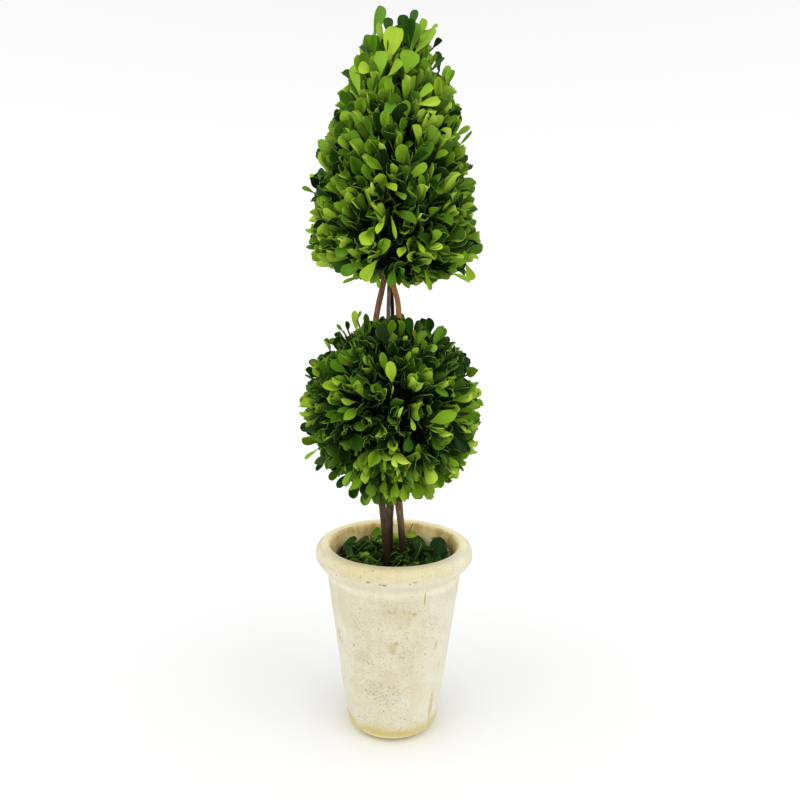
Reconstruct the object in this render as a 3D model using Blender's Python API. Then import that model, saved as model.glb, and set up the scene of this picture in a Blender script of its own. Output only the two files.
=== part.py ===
"""Potted preserved boxwood topiary: a clipped cone over a clipped ball on four vine stems, in a clay pot.

Metres, +Z up. The origin is the centre of the pot's flat foot, and -Y is the front.
Each mass is a foam core with sprigs of leaves fused into it, cut clear of the stems that run through it.
"""

import math
import random

import bmesh
import bpy
from mathutils import Matrix, Vector

# Driving sizes
FIT_GAP = 0.0003
ROUND_STEPS = 42
TOTAL_HEIGHT = 0.6100

# Pot: a tapering clay wall with a rounded foot and a rolled rim
POT_FOOT_RADIUS = 0.0340
POT_FOOT_ROUNDING = 0.0075
POT_LOWER_RADIUS = 0.0405
POT_UPPER_RADIUS = 0.0592
POT_SIDE_TOP = 0.1435
POT_WALL = 0.0065
POT_FLOOR = 0.0100
RIM_CENTRE = (0.0626, 0.1605)
RIM_HALF_SIZES = (0.0069, 0.0090)
COVE_RADIUS = POT_UPPER_RADIUS + 0.0006
COVE_HEIGHT = RIM_CENTRE[1] - 1.4 * RIM_HALF_SIZES[1]
LIP_FOOT_HEIGHT = RIM_CENTRE[1] - 1.2 * RIM_HALF_SIZES[1]
FILLING_TOP = 0.1380

# Leaves and twigs, a little larger than life
LEAF_LENGTH = 0.0260
LEAF_WIDTH = 0.0155
LEAF_THICKNESS = 0.0012
LEAF_CUP = 0.0010
LEAF_WAIST = 0.60
LEAF_FAN = math.radians(38)
LEAF_SHORTER = 0.72
END_LEAF_SUNK = 0.0035
SIDE_LEAF_SUNK = 0.0020
TWIG_RADIUS = 0.0013
TWIG_TAPER = 0.75
TWIG_SUNK = 0.0060
TWIG_LEAST = 0.0030
LEAF_CLEARANCE = 0.0045
GOLDEN_ANGLE = math.pi * (3 - math.sqrt(5))

# Ball
BALL_CENTRE = Vector((-0.0040, 0.0, 0.2890))
BALL_CORE_SIZE = Vector((0.0500, 0.0500, 0.0530))
BALL_REACH = 0.0775
BALL_HALF_HEIGHT = 0.0830
BALL_SPRIGS = 62
BALL_SPRIG_REACH = (0.0235, 0.0265)

# Cone, a bullet shape that leans a little to the right
CONE_CORE_RADIUS = 0.0470
CONE_CORE_BOTTOM = 0.4040
CONE_CORE_TOP = 0.5820
CONE_CORE_HEIGHT = CONE_CORE_TOP - CONE_CORE_BOTTOM
CONE_CORE_POWER = 2.2
CONE_BASE_X = -0.0025
CONE_TIP_X = 0.0015
CONE_REACH = 0.0770
CONE_LOWEST = 0.3885
CONE_SPRIGS = 64
CONE_SPRIG_REACH = (0.0260, 0.0310)
CONE_STEEPEST = math.radians(74)
HEM_SPRIGS = 12
HEM_RINGS = (0.82, 0.55)
HEM_DROP = -0.45
HEM_SPRIG_REACH = 0.0160
LEADER_LEANS = (math.radians(-24), math.radians(21))
LEADER_SUNK = 0.0040
LEADER_REACH = 0.0335

# Loose leaves on top of the pot
LITTER_BED_RADIUS = 0.0500
LITTER_BED_DEPTH = 0.0050
LITTER_REACH = 0.0520
LITTER_HIGHEST = 0.1640
LITTER_LEAVES = 30

# Stems: name, colour, radii at foot and tip, and the route as x, y, z in millimetres above the pot's foot
STEM_SIDES = 8
STEM_STEP = 0.0160
STEMS = (
    (
        "stem_front_left",
        (0.16, 0.10, 0.07, 1),
        (0.0033, 0.0022),
        (
            (-5.5, -8.0, 138.3),
            (-7.0, -7.5, 164.0),
            (-8.9, -7.0, 189.0),
            (-11.3, -6.5, 209.0),
            (-15.8, -6.0, 250.0),
            (-18.6, -6.0, 300.0),
            (-18.9, -5.5, 345.0),
            (-17.5, -5.0, 366.0),
            (-14.4, -4.2, 382.0),
            (-10.6, -3.0, 401.0),
            (-9.2, -2.0, 425.0),
            (-8.6, -1.5, 455.0),
        ),
    ),
    (
        "stem_right",
        (0.45, 0.20, 0.10, 1),
        (0.0031, 0.0020),
        (
            (8.2, 2.0, 138.3),
            (7.3, 1.5, 164.0),
            (5.4, 0.5, 189.0),
            (3.1, -0.5, 209.0),
            (0.5, -1.5, 250.0),
            (-0.3, -2.2, 300.0),
            (1.2, -3.0, 345.0),
            (1.6, -3.8, 368.0),
            (0.4, -4.6, 382.0),
            (-2.6, -5.6, 391.0),
            (-4.6, -6.6, 402.0),
            (-5.2, -7.4, 425.0),
            (-4.6, -7.4, 445.0),
        ),
    ),
    (
        "stem_middle",
        (0.30, 0.27, 0.24, 1),
        (0.0020, 0.0015),
        (
            (-4.5, 3.5, 138.3),
            (-5.4, 2.5, 189.0),
            (-5.8, 2.0, 209.0),
            (-6.5, 1.0, 250.0),
            (-7.3, 0.5, 345.0),
            (-6.9, 0.5, 382.0),
            (-5.8, 0.6, 410.0),
            (-4.5, 1.0, 450.0),
            (-2.5, 1.5, 500.0),
        ),
    ),
    (
        "stem_back",
        (0.13, 0.09, 0.06, 1),
        (0.0019, 0.0014),
        (
            (-2.5, 9.0, 138.3),
            (-2.9, 8.0, 164.0),
            (-3.0, 7.0, 189.0),
            (-1.9, 6.5, 209.0),
            (-1.5, 6.0, 250.0),
            (-2.5, 5.5, 300.0),
            (-3.6, 5.5, 350.0),
            (-4.1, 5.4, 382.0),
            (-5.2, 5.6, 391.0),
            (-6.0, 6.0, 410.0),
            (-6.4, 6.6, 440.0),
        ),
    ),
)


def clear_scene():
    for item in list(bpy.data.objects):
        bpy.data.objects.remove(item)


def material(name, colour, roughness):
    made = bpy.data.materials.new(name)
    made.use_nodes = True
    shader = made.node_tree.nodes["Principled BSDF"]
    shader.inputs["Base Color"].default_value = colour
    shader.inputs["Roughness"].default_value = roughness
    shader.inputs["Metallic"].default_value = 0.0
    return made


def place(name, mesh, finish):
    item = bpy.data.objects.new(name, mesh)
    bpy.context.scene.collection.objects.link(item)
    mesh.materials.clear()
    mesh.materials.append(finish)
    return item


def mesh_of(shape, name):
    """A new mesh from a bmesh, which is freed."""
    mesh = bpy.data.meshes.new(name)
    shape.to_mesh(mesh)
    shape.free()
    return mesh


def level_ring(centre, radius, count):
    """Points evenly spaced on a level circle."""
    turns = [2 * math.pi * k / count for k in range(count)]
    return [centre + Vector((radius * math.cos(t), radius * math.sin(t), 0)) for t in turns]


def join_rings(shape, lower, upper):
    """A band of four-sided faces between two rings of corners."""
    for k in range(len(lower)):
        after = (k + 1) % len(lower)
        shape.faces.new((lower[k], lower[after], upper[after], upper[k]))


# The pot and what fills it
def turned(name, profile):
    """A closed solid turned about Z from a profile of (radius, height) that starts and ends on the axis."""
    shape = bmesh.new()
    points = [shape.verts.new((radius, 0, height)) for radius, height in profile]
    edges = [shape.edges.new(pair) for pair in zip(points, points[1:])]
    bmesh.ops.spin(
        shape, geom=points + edges, cent=(0, 0, 0), axis=(0, 0, 1), angle=2 * math.pi, steps=ROUND_STEPS
    )
    bmesh.ops.remove_doubles(shape, verts=shape.verts, dist=1e-6)
    bmesh.ops.recalc_face_normals(shape, faces=shape.faces)
    mesh = mesh_of(shape, name)
    mesh.shade_smooth()
    mesh.set_sharp_from_angle(angle=math.radians(40))
    return mesh


def pot_inner_radius(height):
    """The inner radius of the pot's straight tapering wall."""
    slope = (POT_UPPER_RADIUS - POT_LOWER_RADIUS) / (POT_SIDE_TOP - POT_FOOT_ROUNDING)
    return POT_LOWER_RADIUS + slope * (height - POT_FOOT_ROUNDING) - POT_WALL


def arc(centre, half_sizes, first, last, count):
    """Points on an ellipse from one angle to another, in degrees from the outward radius."""
    turns = [math.radians(first + (last - first) * i / count) for i in range(count + 1)]
    return [(centre[0] + half_sizes[0] * math.cos(t), centre[1] + half_sizes[1] * math.sin(t)) for t in turns]


def build_pot():
    rounding = (POT_LOWER_RADIUS - POT_FOOT_RADIUS, POT_FOOT_ROUNDING)
    foot = arc((POT_FOOT_RADIUS, POT_FOOT_ROUNDING), rounding, -90, 0, 3)
    rim = arc(RIM_CENTRE, RIM_HALF_SIZES, -105, 195, 11)
    inside = [(pot_inner_radius(height), height) for height in (LIP_FOOT_HEIGHT, POT_FLOOR)]
    outside = [(0, 0), *foot, (POT_UPPER_RADIUS, POT_SIDE_TOP), (COVE_RADIUS, COVE_HEIGHT)]
    profile = [*outside, *rim, *inside, (0, POT_FLOOR)]
    place("pot", turned("pot", profile), material("clay", (0.78, 0.71, 0.52, 1), 0.85))


def build_filling():
    floor = POT_FLOOR + FIT_GAP
    wall = [(pot_inner_radius(height) - FIT_GAP, height) for height in (floor, FILLING_TOP)]
    profile = [(0, floor), *wall, (0, FILLING_TOP)]
    place("filling", turned("filling", profile), material("plaster", (0.12, 0.10, 0.08, 1), 0.95))


# Stems
def stem_route(route):
    """Points a short step apart on a smooth curve through the route, with each one's share of the height."""
    ends = [Vector(point) * 0.001 for point in route]
    count = round((ends[-1].z - ends[0].z) / STEM_STEP)
    padded = [2 * ends[0] - ends[1], *ends, 2 * ends[-1] - ends[-2]]
    points = []
    for i in range(count + 1):
        share = i / count
        height = ends[0].z + share * (ends[-1].z - ends[0].z)
        span = max(k for k in range(len(ends) - 1) if ends[k].z <= height + 1e-9)
        a, b, c, d = padded[span : span + 4]
        run = c.z - b.z
        t = (height - b.z) / run
        lean_in = (c - a) / (c.z - a.z)
        lean_out = (d - b) / (d.z - b.z)
        point = (2 * t**3 - 3 * t**2 + 1) * b + (t**3 - 2 * t**2 + t) * run * lean_in
        point += (3 * t**2 - 2 * t**3) * c + (t**3 - t**2) * run * lean_out
        points.append((Vector((point.x, point.y, height)), share))
    return points


def stem_mesh(name, radii, route, extra=0.0):
    """A tapering limb with level ends, made thicker and longer by extra where it serves as a cutter."""
    shape = bmesh.new()
    rings = []
    for centre, share in stem_route(route):
        lift = extra * ((share == 1) - (share == 0))
        radius = radii[0] + (radii[1] - radii[0]) * share + extra
        corners = level_ring(centre + Vector((0, 0, lift)), radius, STEM_SIDES)
        rings.append([shape.verts.new(corner) for corner in corners])
    for lower, upper in zip(rings, rings[1:]):
        join_rings(shape, lower, upper)
    shape.faces.new(reversed(rings[0]))
    shape.faces.new(rings[-1])
    mesh = mesh_of(shape, name)
    mesh.shade_smooth()
    mesh.set_sharp_from_angle(angle=math.radians(60))
    return mesh


def build_stems():
    for name, colour, radii, route in STEMS:
        place(name, stem_mesh(name, radii, route), material(name + "_bark", colour, 0.75))


def near_stem(point, margin):
    """True if a point lies within the margin of a stem's bark."""
    for _, _, radii, route in STEMS:
        for centre, share in stem_route(route):
            level = Vector((centre.x, centre.y, point.z))
            radius = radii[0] + (radii[1] - radii[0]) * share
            if abs(centre.z - point.z) <= STEM_STEP and (level - point).length < radius + margin:
                return True
    return False


# Leaves and twigs
def axes_along(direction, upper):
    """Axes with X along the direction and Z as near to the upper side as can be."""
    along = direction.normalized()
    side = upper.cross(along)
    if side.length < 1e-6:
        side = along.orthogonal()
    side.normalize()
    return Matrix((along, side, along.cross(side))).transposed()


def leaf_mesh(root, direction, upper, scale):
    """A leaf of eight faces, cupped and thickest along its middle, broadest past halfway."""
    length, width = LEAF_LENGTH * scale, LEAF_WIDTH * scale
    axes = axes_along(direction, upper)
    outline = ((0, 0), (LEAF_WAIST, -0.5), (1, 0), (LEAF_WAIST, 0.5))
    corners = [Vector((x * length, y * width, 0)) for x, y in outline]
    for side in (1, -1):
        corners.append(Vector((LEAF_WAIST * length, 0, side * LEAF_THICKNESS / 2 - LEAF_CUP)))
    faces = []
    for k in range(4):
        after = (k + 1) % 4
        faces += [(k, after, 4), (after, k, 5)]
    mesh = bpy.data.meshes.new("leaf")
    mesh.from_pydata([root + axes @ corner for corner in corners], [], faces)
    return mesh


def fitted_leaf(root, direction, upper, scale, room):
    """A list of one leaf, made shorter if it would leave its room, or of none if it still would."""
    for size in (scale, LEAF_SHORTER):
        reach = direction * LEAF_LENGTH * size
        if room(root + reach) and room(root + reach * LEAF_WAIST):
            return [leaf_mesh(root, direction, upper, size)]
    return []


def twig_mesh(start, end):
    """A three-sided twig, a little slimmer at its tip."""
    axes = axes_along(end - start, Vector((0.3, 0.5, 0.8)))
    corners = []
    for middle, size in ((start, TWIG_RADIUS), (end, TWIG_RADIUS * TWIG_TAPER)):
        for k in range(3):
            turn = 2 * math.pi * k / 3
            corners.append(middle + axes @ Vector((0, size * math.cos(turn), size * math.sin(turn))))
    faces = [(0, 2, 1), (3, 4, 5), (0, 1, 4, 3), (1, 2, 5, 4), (2, 0, 3, 5)]
    mesh = bpy.data.meshes.new("twig")
    mesh.from_pydata(corners, [], faces)
    return mesh


def sprig(site, direction, reach, room, draw):
    """Meshes of one sprig: a twig sunk in the core, a leaf along it and an opposite pair fanned from it."""
    twig_end = site + direction * max(TWIG_LEAST, reach - 0.8 * LEAF_LENGTH)
    pieces = [twig_mesh(site - direction * TWIG_SUNK, twig_end)]
    aside = direction.orthogonal().normalized()
    aside.rotate(Matrix.Rotation(draw.uniform(0, math.pi), 3, direction))
    for fan, sunk in ((0, END_LEAF_SUNK), (LEAF_FAN, SIDE_LEAF_SUNK), (-LEAF_FAN, SIDE_LEAF_SUNK)):
        angle = fan + draw.uniform(-0.12, 0.12)
        along = (direction * math.cos(angle) + aside * math.sin(angle)).normalized()
        upper = direction if fan else aside
        pieces += fitted_leaf(twig_end - direction * sunk, along, upper, draw.uniform(0.88, 1.08), room)
    return pieces


def jittered(direction, amount, draw):
    shift = Vector((draw.gauss(0, amount), draw.gauss(0, amount), draw.gauss(0, amount)))
    return (direction + shift).normalized()


# Fusing a mass
def boolean(body, operation, operand):
    """A Boolean modifier on the body, with an object or a collection as its other part."""
    change = body.modifiers.new(operation.lower(), "BOOLEAN")
    change.operation = operation
    if isinstance(operand, bpy.types.Collection):
        change.operand_type = "COLLECTION"
        change.collection = operand
    else:
        change.object = operand


def gathered(name, meshes):
    """A collection in the scene with one object for each mesh."""
    group = bpy.data.collections.new(name)
    bpy.context.scene.collection.children.link(group)
    for mesh in meshes:
        group.objects.link(bpy.data.objects.new(mesh.name, mesh))
    return group


def fused(name, core, pieces, finish):
    """One closed mass: the core and all its sprigs joined, then cut clear of the stems."""
    body = place(name, core, finish)
    sprigs = gathered(name + "_sprigs", pieces)
    channels = gathered(
        name + "_channels", [stem_mesh("channel", radii, route, FIT_GAP) for _, _, radii, route in STEMS]
    )
    boolean(body, "UNION", sprigs)
    for channel in channels.objects:
        boolean(body, "DIFFERENCE", channel)
    bpy.context.view_layer.update()
    joined = bpy.data.meshes.new_from_object(body.evaluated_get(bpy.context.evaluated_depsgraph_get()))
    for item in [body, *sprigs.objects, *channels.objects]:
        bpy.data.objects.remove(item)
    for group in (sprigs, channels):
        bpy.data.collections.remove(group)
    keep_largest(joined)
    joined.name = name
    place(name, joined, finish)


def keep_largest(mesh):
    """Drops any scrap that a cut has left loose beside the main body."""
    shape = bmesh.new()
    shape.from_mesh(mesh)
    waiting = set(shape.verts)
    islands = []
    while waiting:
        stack = [waiting.pop()]
        island = list(stack)
        while stack:
            corner = stack.pop()
            fresh = {edge.other_vert(corner) for edge in corner.link_edges} & waiting
            waiting -= fresh
            stack += fresh
            island += fresh
        islands.append(island)
    islands.sort(key=len)
    loose = [corner for island in islands[:-1] for corner in island]
    bmesh.ops.delete(shape, geom=loose, context="VERTS")
    shape.to_mesh(mesh)
    shape.free()


# The ball
def ball_core():
    shape = bmesh.new()
    bmesh.ops.create_icosphere(shape, subdivisions=2, radius=1.0)
    size = Matrix.Diagonal((*BALL_CORE_SIZE, 1))
    bmesh.ops.transform(shape, matrix=Matrix.Translation(BALL_CENTRE) @ size, verts=shape.verts)
    return mesh_of(shape, "ball_core")


def in_ball(point):
    away = point - BALL_CENTRE
    spread = (away.x**2 + away.y**2) / BALL_REACH**2 + away.z**2 / BALL_HALF_HEIGHT**2
    return spread < 1 and not near_stem(point, LEAF_CLEARANCE)


def build_ball(finish):
    draw = random.Random(11)
    pieces = []
    for i in range(BALL_SPRIGS):
        level = 1 - 2 * (i + 0.5) / BALL_SPRIGS
        turn = i * GOLDEN_ANGLE
        ring = math.sqrt(1 - level * level)
        outward = Vector((ring * math.cos(turn), ring * math.sin(turn), level))
        site = BALL_CENTRE + outward * BALL_CORE_SIZE
        direction = jittered(outward, 0.10, draw)
        reach = draw.uniform(*BALL_SPRIG_REACH)
        if in_ball(site + direction * reach / 2):
            pieces += sprig(site, direction, reach, in_ball, draw)
    fused("ball_foliage", ball_core(), pieces, finish)


# The cone
def cone_core_radius(share):
    """The core's radius at a share of its height, full at the foot and rounding in to the tip."""
    return CONE_CORE_RADIUS * (1 - share**CONE_CORE_POWER)


def cone_axis_x(height):
    share = (height - CONE_CORE_BOTTOM) / (TOTAL_HEIGHT - CONE_CORE_BOTTOM)
    return CONE_BASE_X + (CONE_TIP_X - CONE_BASE_X) * share


def cone_even_shares(count):
    """Shares of the core's height that put the same area between one and the next."""
    slices = 400
    sums = [0.0]
    for i in range(slices):
        low, high = cone_core_radius(i / slices), cone_core_radius((i + 1) / slices)
        sums.append(sums[-1] + (low + high) / 2 * math.hypot(low - high, CONE_CORE_HEIGHT / slices))
    shares = []
    k = 0
    for i in range(count):
        wanted = (i + 0.5) / count * sums[-1]
        while sums[k + 1] < wanted:
            k += 1
        shares.append((k + (wanted - sums[k]) / (sums[k + 1] - sums[k])) / slices)
    return shares


def cone_core():
    """A closed bullet-shaped core on a flat base, leaning with the cone's axis."""
    levels, around = 7, 16
    shape = bmesh.new()
    rings = []
    for i in range(levels):
        share = (i / levels) ** 0.9
        height = CONE_CORE_BOTTOM + share * CONE_CORE_HEIGHT
        corners = level_ring(Vector((cone_axis_x(height), 0, height)), cone_core_radius(share), around)
        rings.append([shape.verts.new(corner) for corner in corners])
    for lower, upper in zip(rings, rings[1:]):
        join_rings(shape, lower, upper)
    top = shape.verts.new((cone_axis_x(CONE_CORE_TOP), 0, CONE_CORE_TOP))
    for k in range(around):
        shape.faces.new((rings[-1][k], rings[-1][(k + 1) % around], top))
    shape.faces.new(reversed(rings[0]))
    return mesh_of(shape, "cone_core")


def in_cone(point):
    across = math.hypot(point.x - cone_axis_x(point.z), point.y)
    inside = across < CONE_REACH and CONE_LOWEST < point.z < TOTAL_HEIGHT
    return inside and not near_stem(point, LEAF_CLEARANCE)


def cone_side_sprigs(draw):
    """Sprigs all over the side, nearly level at the hem and steeper towards the tip."""
    pieces = []
    for i, share in enumerate(cone_even_shares(CONE_SPRIGS)):
        turn = i * GOLDEN_ANGLE
        height = CONE_CORE_BOTTOM + share * CONE_CORE_HEIGHT
        radius = cone_core_radius(share)
        site = Vector((cone_axis_x(height) + radius * math.cos(turn), radius * math.sin(turn), height))
        rise = CONE_STEEPEST * share**0.75
        outward = Vector((math.cos(rise) * math.cos(turn), math.cos(rise) * math.sin(turn), math.sin(rise)))
        reach = CONE_SPRIG_REACH[0] + (CONE_SPRIG_REACH[1] - CONE_SPRIG_REACH[0]) * share
        direction = jittered(outward, 0.09, draw)
        pieces += sprig(site, direction, reach * draw.uniform(0.94, 1.06), in_cone, draw)
    return pieces


def cone_hem_sprigs(draw):
    """Sprigs that hang out and down from the flat underside."""
    pieces = []
    for i in range(HEM_SPRIGS):
        turn = 2 * math.pi * i / HEM_SPRIGS
        radius = CONE_CORE_RADIUS * HEM_RINGS[i % 2]
        site = Vector((CONE_BASE_X + radius * math.cos(turn), radius * math.sin(turn), CONE_CORE_BOTTOM))
        outward = Vector((math.cos(turn), math.sin(turn), HEM_DROP)).normalized()
        if not near_stem(site + outward * HEM_SPRIG_REACH / 2, LEAF_CLEARANCE):
            pieces += sprig(site, jittered(outward, 0.06, draw), HEM_SPRIG_REACH, in_cone, draw)
    return pieces


def cone_leaders(draw):
    """The two upright sprigs that make the tip."""
    pieces = []
    site = Vector((CONE_TIP_X, 0, CONE_CORE_TOP - LEADER_SUNK))
    for lean in LEADER_LEANS:
        pieces += sprig(site, Vector((math.sin(lean), 0, math.cos(lean))), LEADER_REACH, in_cone, draw)
    return pieces


def build_cone(finish):
    draw = random.Random(23)
    pieces = cone_side_sprigs(draw) + cone_hem_sprigs(draw) + cone_leaders(draw)
    fused("cone_foliage", cone_core(), pieces, finish)


# Loose leaves that dress the top of the pot
def litter_bed():
    """A thin turned mound on the filling that the loose leaves stand in."""
    low = FILLING_TOP + FIT_GAP
    high = low + LITTER_BED_DEPTH
    edge = [(LITTER_BED_RADIUS, low), (LITTER_BED_RADIUS, low + 0.4 * LITTER_BED_DEPTH)]
    return turned("litter_bed", [(0, low), *edge, (0.85 * LITTER_BED_RADIUS, high), (0, high)])


def in_litter(point):
    lowest = FILLING_TOP + 4 * FIT_GAP
    within = math.hypot(point.x, point.y) < LITTER_REACH and lowest < point.z < LITTER_HIGHEST
    return within and not near_stem(point, LEAF_CLEARANCE)


def build_litter(finish):
    draw = random.Random(37)
    pieces = []
    for i in range(LITTER_LEAVES):
        turn = i * GOLDEN_ANGLE
        radius = 0.88 * LITTER_BED_RADIUS * math.sqrt((i + 0.5) / LITTER_LEAVES)
        height = FILLING_TOP + LITTER_BED_DEPTH / 2
        root = Vector((radius * math.cos(turn), radius * math.sin(turn), height))
        heading, rise = draw.uniform(0, 2 * math.pi), math.radians(draw.uniform(14, 48))
        upper, scale = jittered(Vector((0, 0, 1)), 0.3, draw), draw.uniform(0.70, 0.95)
        for way in (1, -1):
            level = Vector((way * math.cos(heading), way * math.sin(heading), math.tan(rise)))
            leaf = fitted_leaf(root, level.normalized(), upper, scale, in_litter)
            if leaf:
                pieces += leaf
                break
    fused("pot_leaves", litter_bed(), pieces, finish)


def main():
    clear_scene()
    build_pot()
    build_filling()
    build_stems()
    build_ball(material("ball_leaves", (0.13, 0.27, 0.05, 1), 0.6))
    build_cone(material("cone_leaves", (0.20, 0.38, 0.07, 1), 0.6))
    build_litter(material("loose_leaves", (0.10, 0.24, 0.05, 1), 0.6))


main()
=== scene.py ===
"""Looks of the potted boxwood topiary: pot, stems, clipped ball and cone, loose leaves, light, camera.

Metres, +Z up, the CAD model's own frame: the origin is the centre of the pot's foot, -Y is the front.
"""

import functools
import math
import random

import bmesh
import bpy
import numpy as np
from mathutils import Matrix, Vector, noise


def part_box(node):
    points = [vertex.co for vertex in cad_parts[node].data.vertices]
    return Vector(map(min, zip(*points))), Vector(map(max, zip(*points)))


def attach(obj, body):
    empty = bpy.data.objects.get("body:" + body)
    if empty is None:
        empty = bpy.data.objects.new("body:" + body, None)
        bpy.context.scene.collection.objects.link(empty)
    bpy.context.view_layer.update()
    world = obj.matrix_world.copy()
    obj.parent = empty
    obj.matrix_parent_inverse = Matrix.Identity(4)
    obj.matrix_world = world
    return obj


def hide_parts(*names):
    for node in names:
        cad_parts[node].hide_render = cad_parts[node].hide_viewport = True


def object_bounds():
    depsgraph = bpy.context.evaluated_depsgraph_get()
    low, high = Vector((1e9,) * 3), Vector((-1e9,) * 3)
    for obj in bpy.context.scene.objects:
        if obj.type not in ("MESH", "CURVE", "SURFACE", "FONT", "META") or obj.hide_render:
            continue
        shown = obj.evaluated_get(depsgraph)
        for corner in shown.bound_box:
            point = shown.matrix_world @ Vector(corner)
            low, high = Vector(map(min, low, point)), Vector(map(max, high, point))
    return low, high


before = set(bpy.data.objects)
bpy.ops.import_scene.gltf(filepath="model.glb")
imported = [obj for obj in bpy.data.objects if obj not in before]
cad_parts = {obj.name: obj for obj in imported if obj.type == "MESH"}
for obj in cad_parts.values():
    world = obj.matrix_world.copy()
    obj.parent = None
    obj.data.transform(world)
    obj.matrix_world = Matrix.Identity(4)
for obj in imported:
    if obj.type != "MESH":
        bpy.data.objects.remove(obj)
CAD_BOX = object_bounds()

MM = 0.001
GOLDEN_ANGLE = math.pi * (3 - math.sqrt(5))
UP = Vector((0, 0, 1))

# Camera: worked out from the ellipses of the pot's rim and foot in the photograph
IMAGE_SIDE = 800
FOCAL_PIXELS = 680
CAMERA_PLACE = Vector((3.6 * MM, -580.6 * MM, 379.9 * MM))
CAMERA_PITCH = math.radians(8.22)
CAMERA_ROLL = math.radians(0.72)
SENSOR_WIDTH = 36
CAMERA_TURN = Matrix.Rotation(math.pi / 2 - CAMERA_PITCH, 3, "X") @ Matrix.Rotation(CAMERA_ROLL, 3, "Z")

# Light: a white surround, softer overhead and stronger in front, and two wide keys from the front corners
HORIZON_WHITE = 1.06
PICTURE_TOP_WHITE = 0.955
OVERHEAD_WHITE = 0.94
FRONT_GAIN = 1.60
KEYS = (
    ("key_right", (-0.80, 0.60, -0.60), 0.40),
    ("key_left", (0.80, 0.60, -0.60), 0.32),
)
KEY_WIDTH = math.radians(50)
VIEW_GAMMA = 0.75
FLOOR_WHITE = 0.722
FLOOR_RADIUS = 60.0

# Pot, as in the CAD model
POT_FOOT_RADIUS = 26.0 * MM
POT_FOOT_ROUNDING = 12.0 * MM
POT_LOWER_RADIUS = 41.5 * MM
POT_UPPER_RADIUS = 59.2 * MM
POT_SIDE_TOP = 143.5 * MM
POT_WALL = 6.5 * MM
POT_INNER_ROUNDING = (3.6 * MM, 4.2 * MM)
POT_AROUND = 240
RIM_HALF_SIZES = (6.9 * MM, 9.0 * MM)
POT_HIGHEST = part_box("pot")[1]
RIM_CENTRE = (POT_HIGHEST.x - RIM_HALF_SIZES[0], POT_HIGHEST.z - RIM_HALF_SIZES[1])
RIM_RISE = 0.95 * RIM_HALF_SIZES[1]
RIM_DROP = 0.86 * RIM_HALF_SIZES[1]
FILLING_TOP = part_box("filling")[1].z

# How far apart the rings of the pot's skin are, outside and inside, and how far into the filling it runs
OUTER_STEP = 1.15 * MM
INNER_STEP = 1.6 * MM
SKIN_DEPTH = 10 * MM

# The cove under the rim, as steps out and up from the side's top in millimetres
COVE = ((0, 0), (0.5, 2.1), (2.0, 4.5), (4.8, 7.7), (7.0, 9.8))

# How far a leaf of the ball or cone may reach: past the outline, and to the left in all
TIP_ROOM = 5 * MM
LEAVES_LEFT = CAD_BOX[0].x - 6.5 * MM
STEM_GAP = 1.5 * MM

# Ball
BALL_CENTRE = Vector((-4.0, 0.0, 288.3)) * MM
BALL_CORE = Vector((46.0, 46.0, 49.0)) * MM
BALL_OUTLINE = Vector((79.0, 78.5, 82.0)) * MM
BALL_SPRIGS = 285
BALL_LEAF_SIZE = 0.91
BALL_SEED = 11

# Cone: the middle and the reach of the leaves' tips as (height, x, radius)
CONE_CORE_RADIUS = 43.0 * MM
CONE_CORE_BOTTOM = 406.0 * MM
CONE_CORE_TOP = 578.0 * MM
CONE_CORE_POWER = 2.2
CONE_OUTLINE = (
    (388, -2.0, 54), (402, -3.0, 67), (418, -3.5, 72), (440, -4.0, 69), (480, -4.0, 65), (506, -3.0, 60),
    (526, -0.5, 53), (550, -1.8, 44.5), (580, 0.0, 32.5), (610, 2.5, 15),
)
CONE_SPRIGS = 275
HEM_SPRIGS = 46
CONE_SEED = 23

# The least and most that the sprigs of the cone's side and of its hem reach out of the core
CONE_REACH = (20 * MM, 38 * MM)
HEM_REACH = (18 * MM, 22 * MM)

# The angles of the sprigs' pairs of leaves from their twigs in degrees, from the tip down
BALL_OPENINGS = (5, 14, 24, 33)
CONE_OPENINGS = (7, 18, 29, 38)

# The hem's lowest leaves as (x, height), for it slants up to the left
HEM_LINE = ((-64, 415), (-48, 408), (-30, 400), (0, 394), (28, 397), (46, 403), (64, 416))

# The random sprigs end below the tip, whose tufts are placed one by one, and a little higher behind them
CONE_SPRIG_TOP = 592.0 * MM
CONE_BACK_RISE = 9 * MM

# Litter: loose leaves on a dark rough ground in the pot, with heaps of (x, y, height) in millimetres
LITTER_RADIUS = 50.5 * MM
LITTER_WALL = 46 * MM
LITTER_GROUND = 147.0 * MM
LITTER_HIGHEST = 163.0 * MM
LITTER_LEAVES = 210
LITTER_SLOPE = 0.045
LITTER_HEAPS = ((49, 9, 8.5), (-43, 20, 7.0))
HEAP_SPREAD = 220
LITTER_TWIGS = 14
LITTER_SEED = 37
STANDING_TWIG = ((9.0, 42.0, 149.0), (13.0, 47.0, 159.0), (17.5, 52.0, 168.0))

# The pale lumps that show, as (x, y, size), and the level at which they show, in millimetres
LUMPS = ((17, 44, 1.9), (20, 43, 2.2), (23, 42, 1.8), (47, 13, 2.8), (48, 8, 3.0), (48, 3, 2.4))
LUMP_LEVEL = 150
HIDDEN_LUMPS = 6

# Where the dark ground shows in front of the stems: from and to along X, and how far back along Y
LITTER_BARE = (-32 * MM, 0, -24 * MM)

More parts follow.
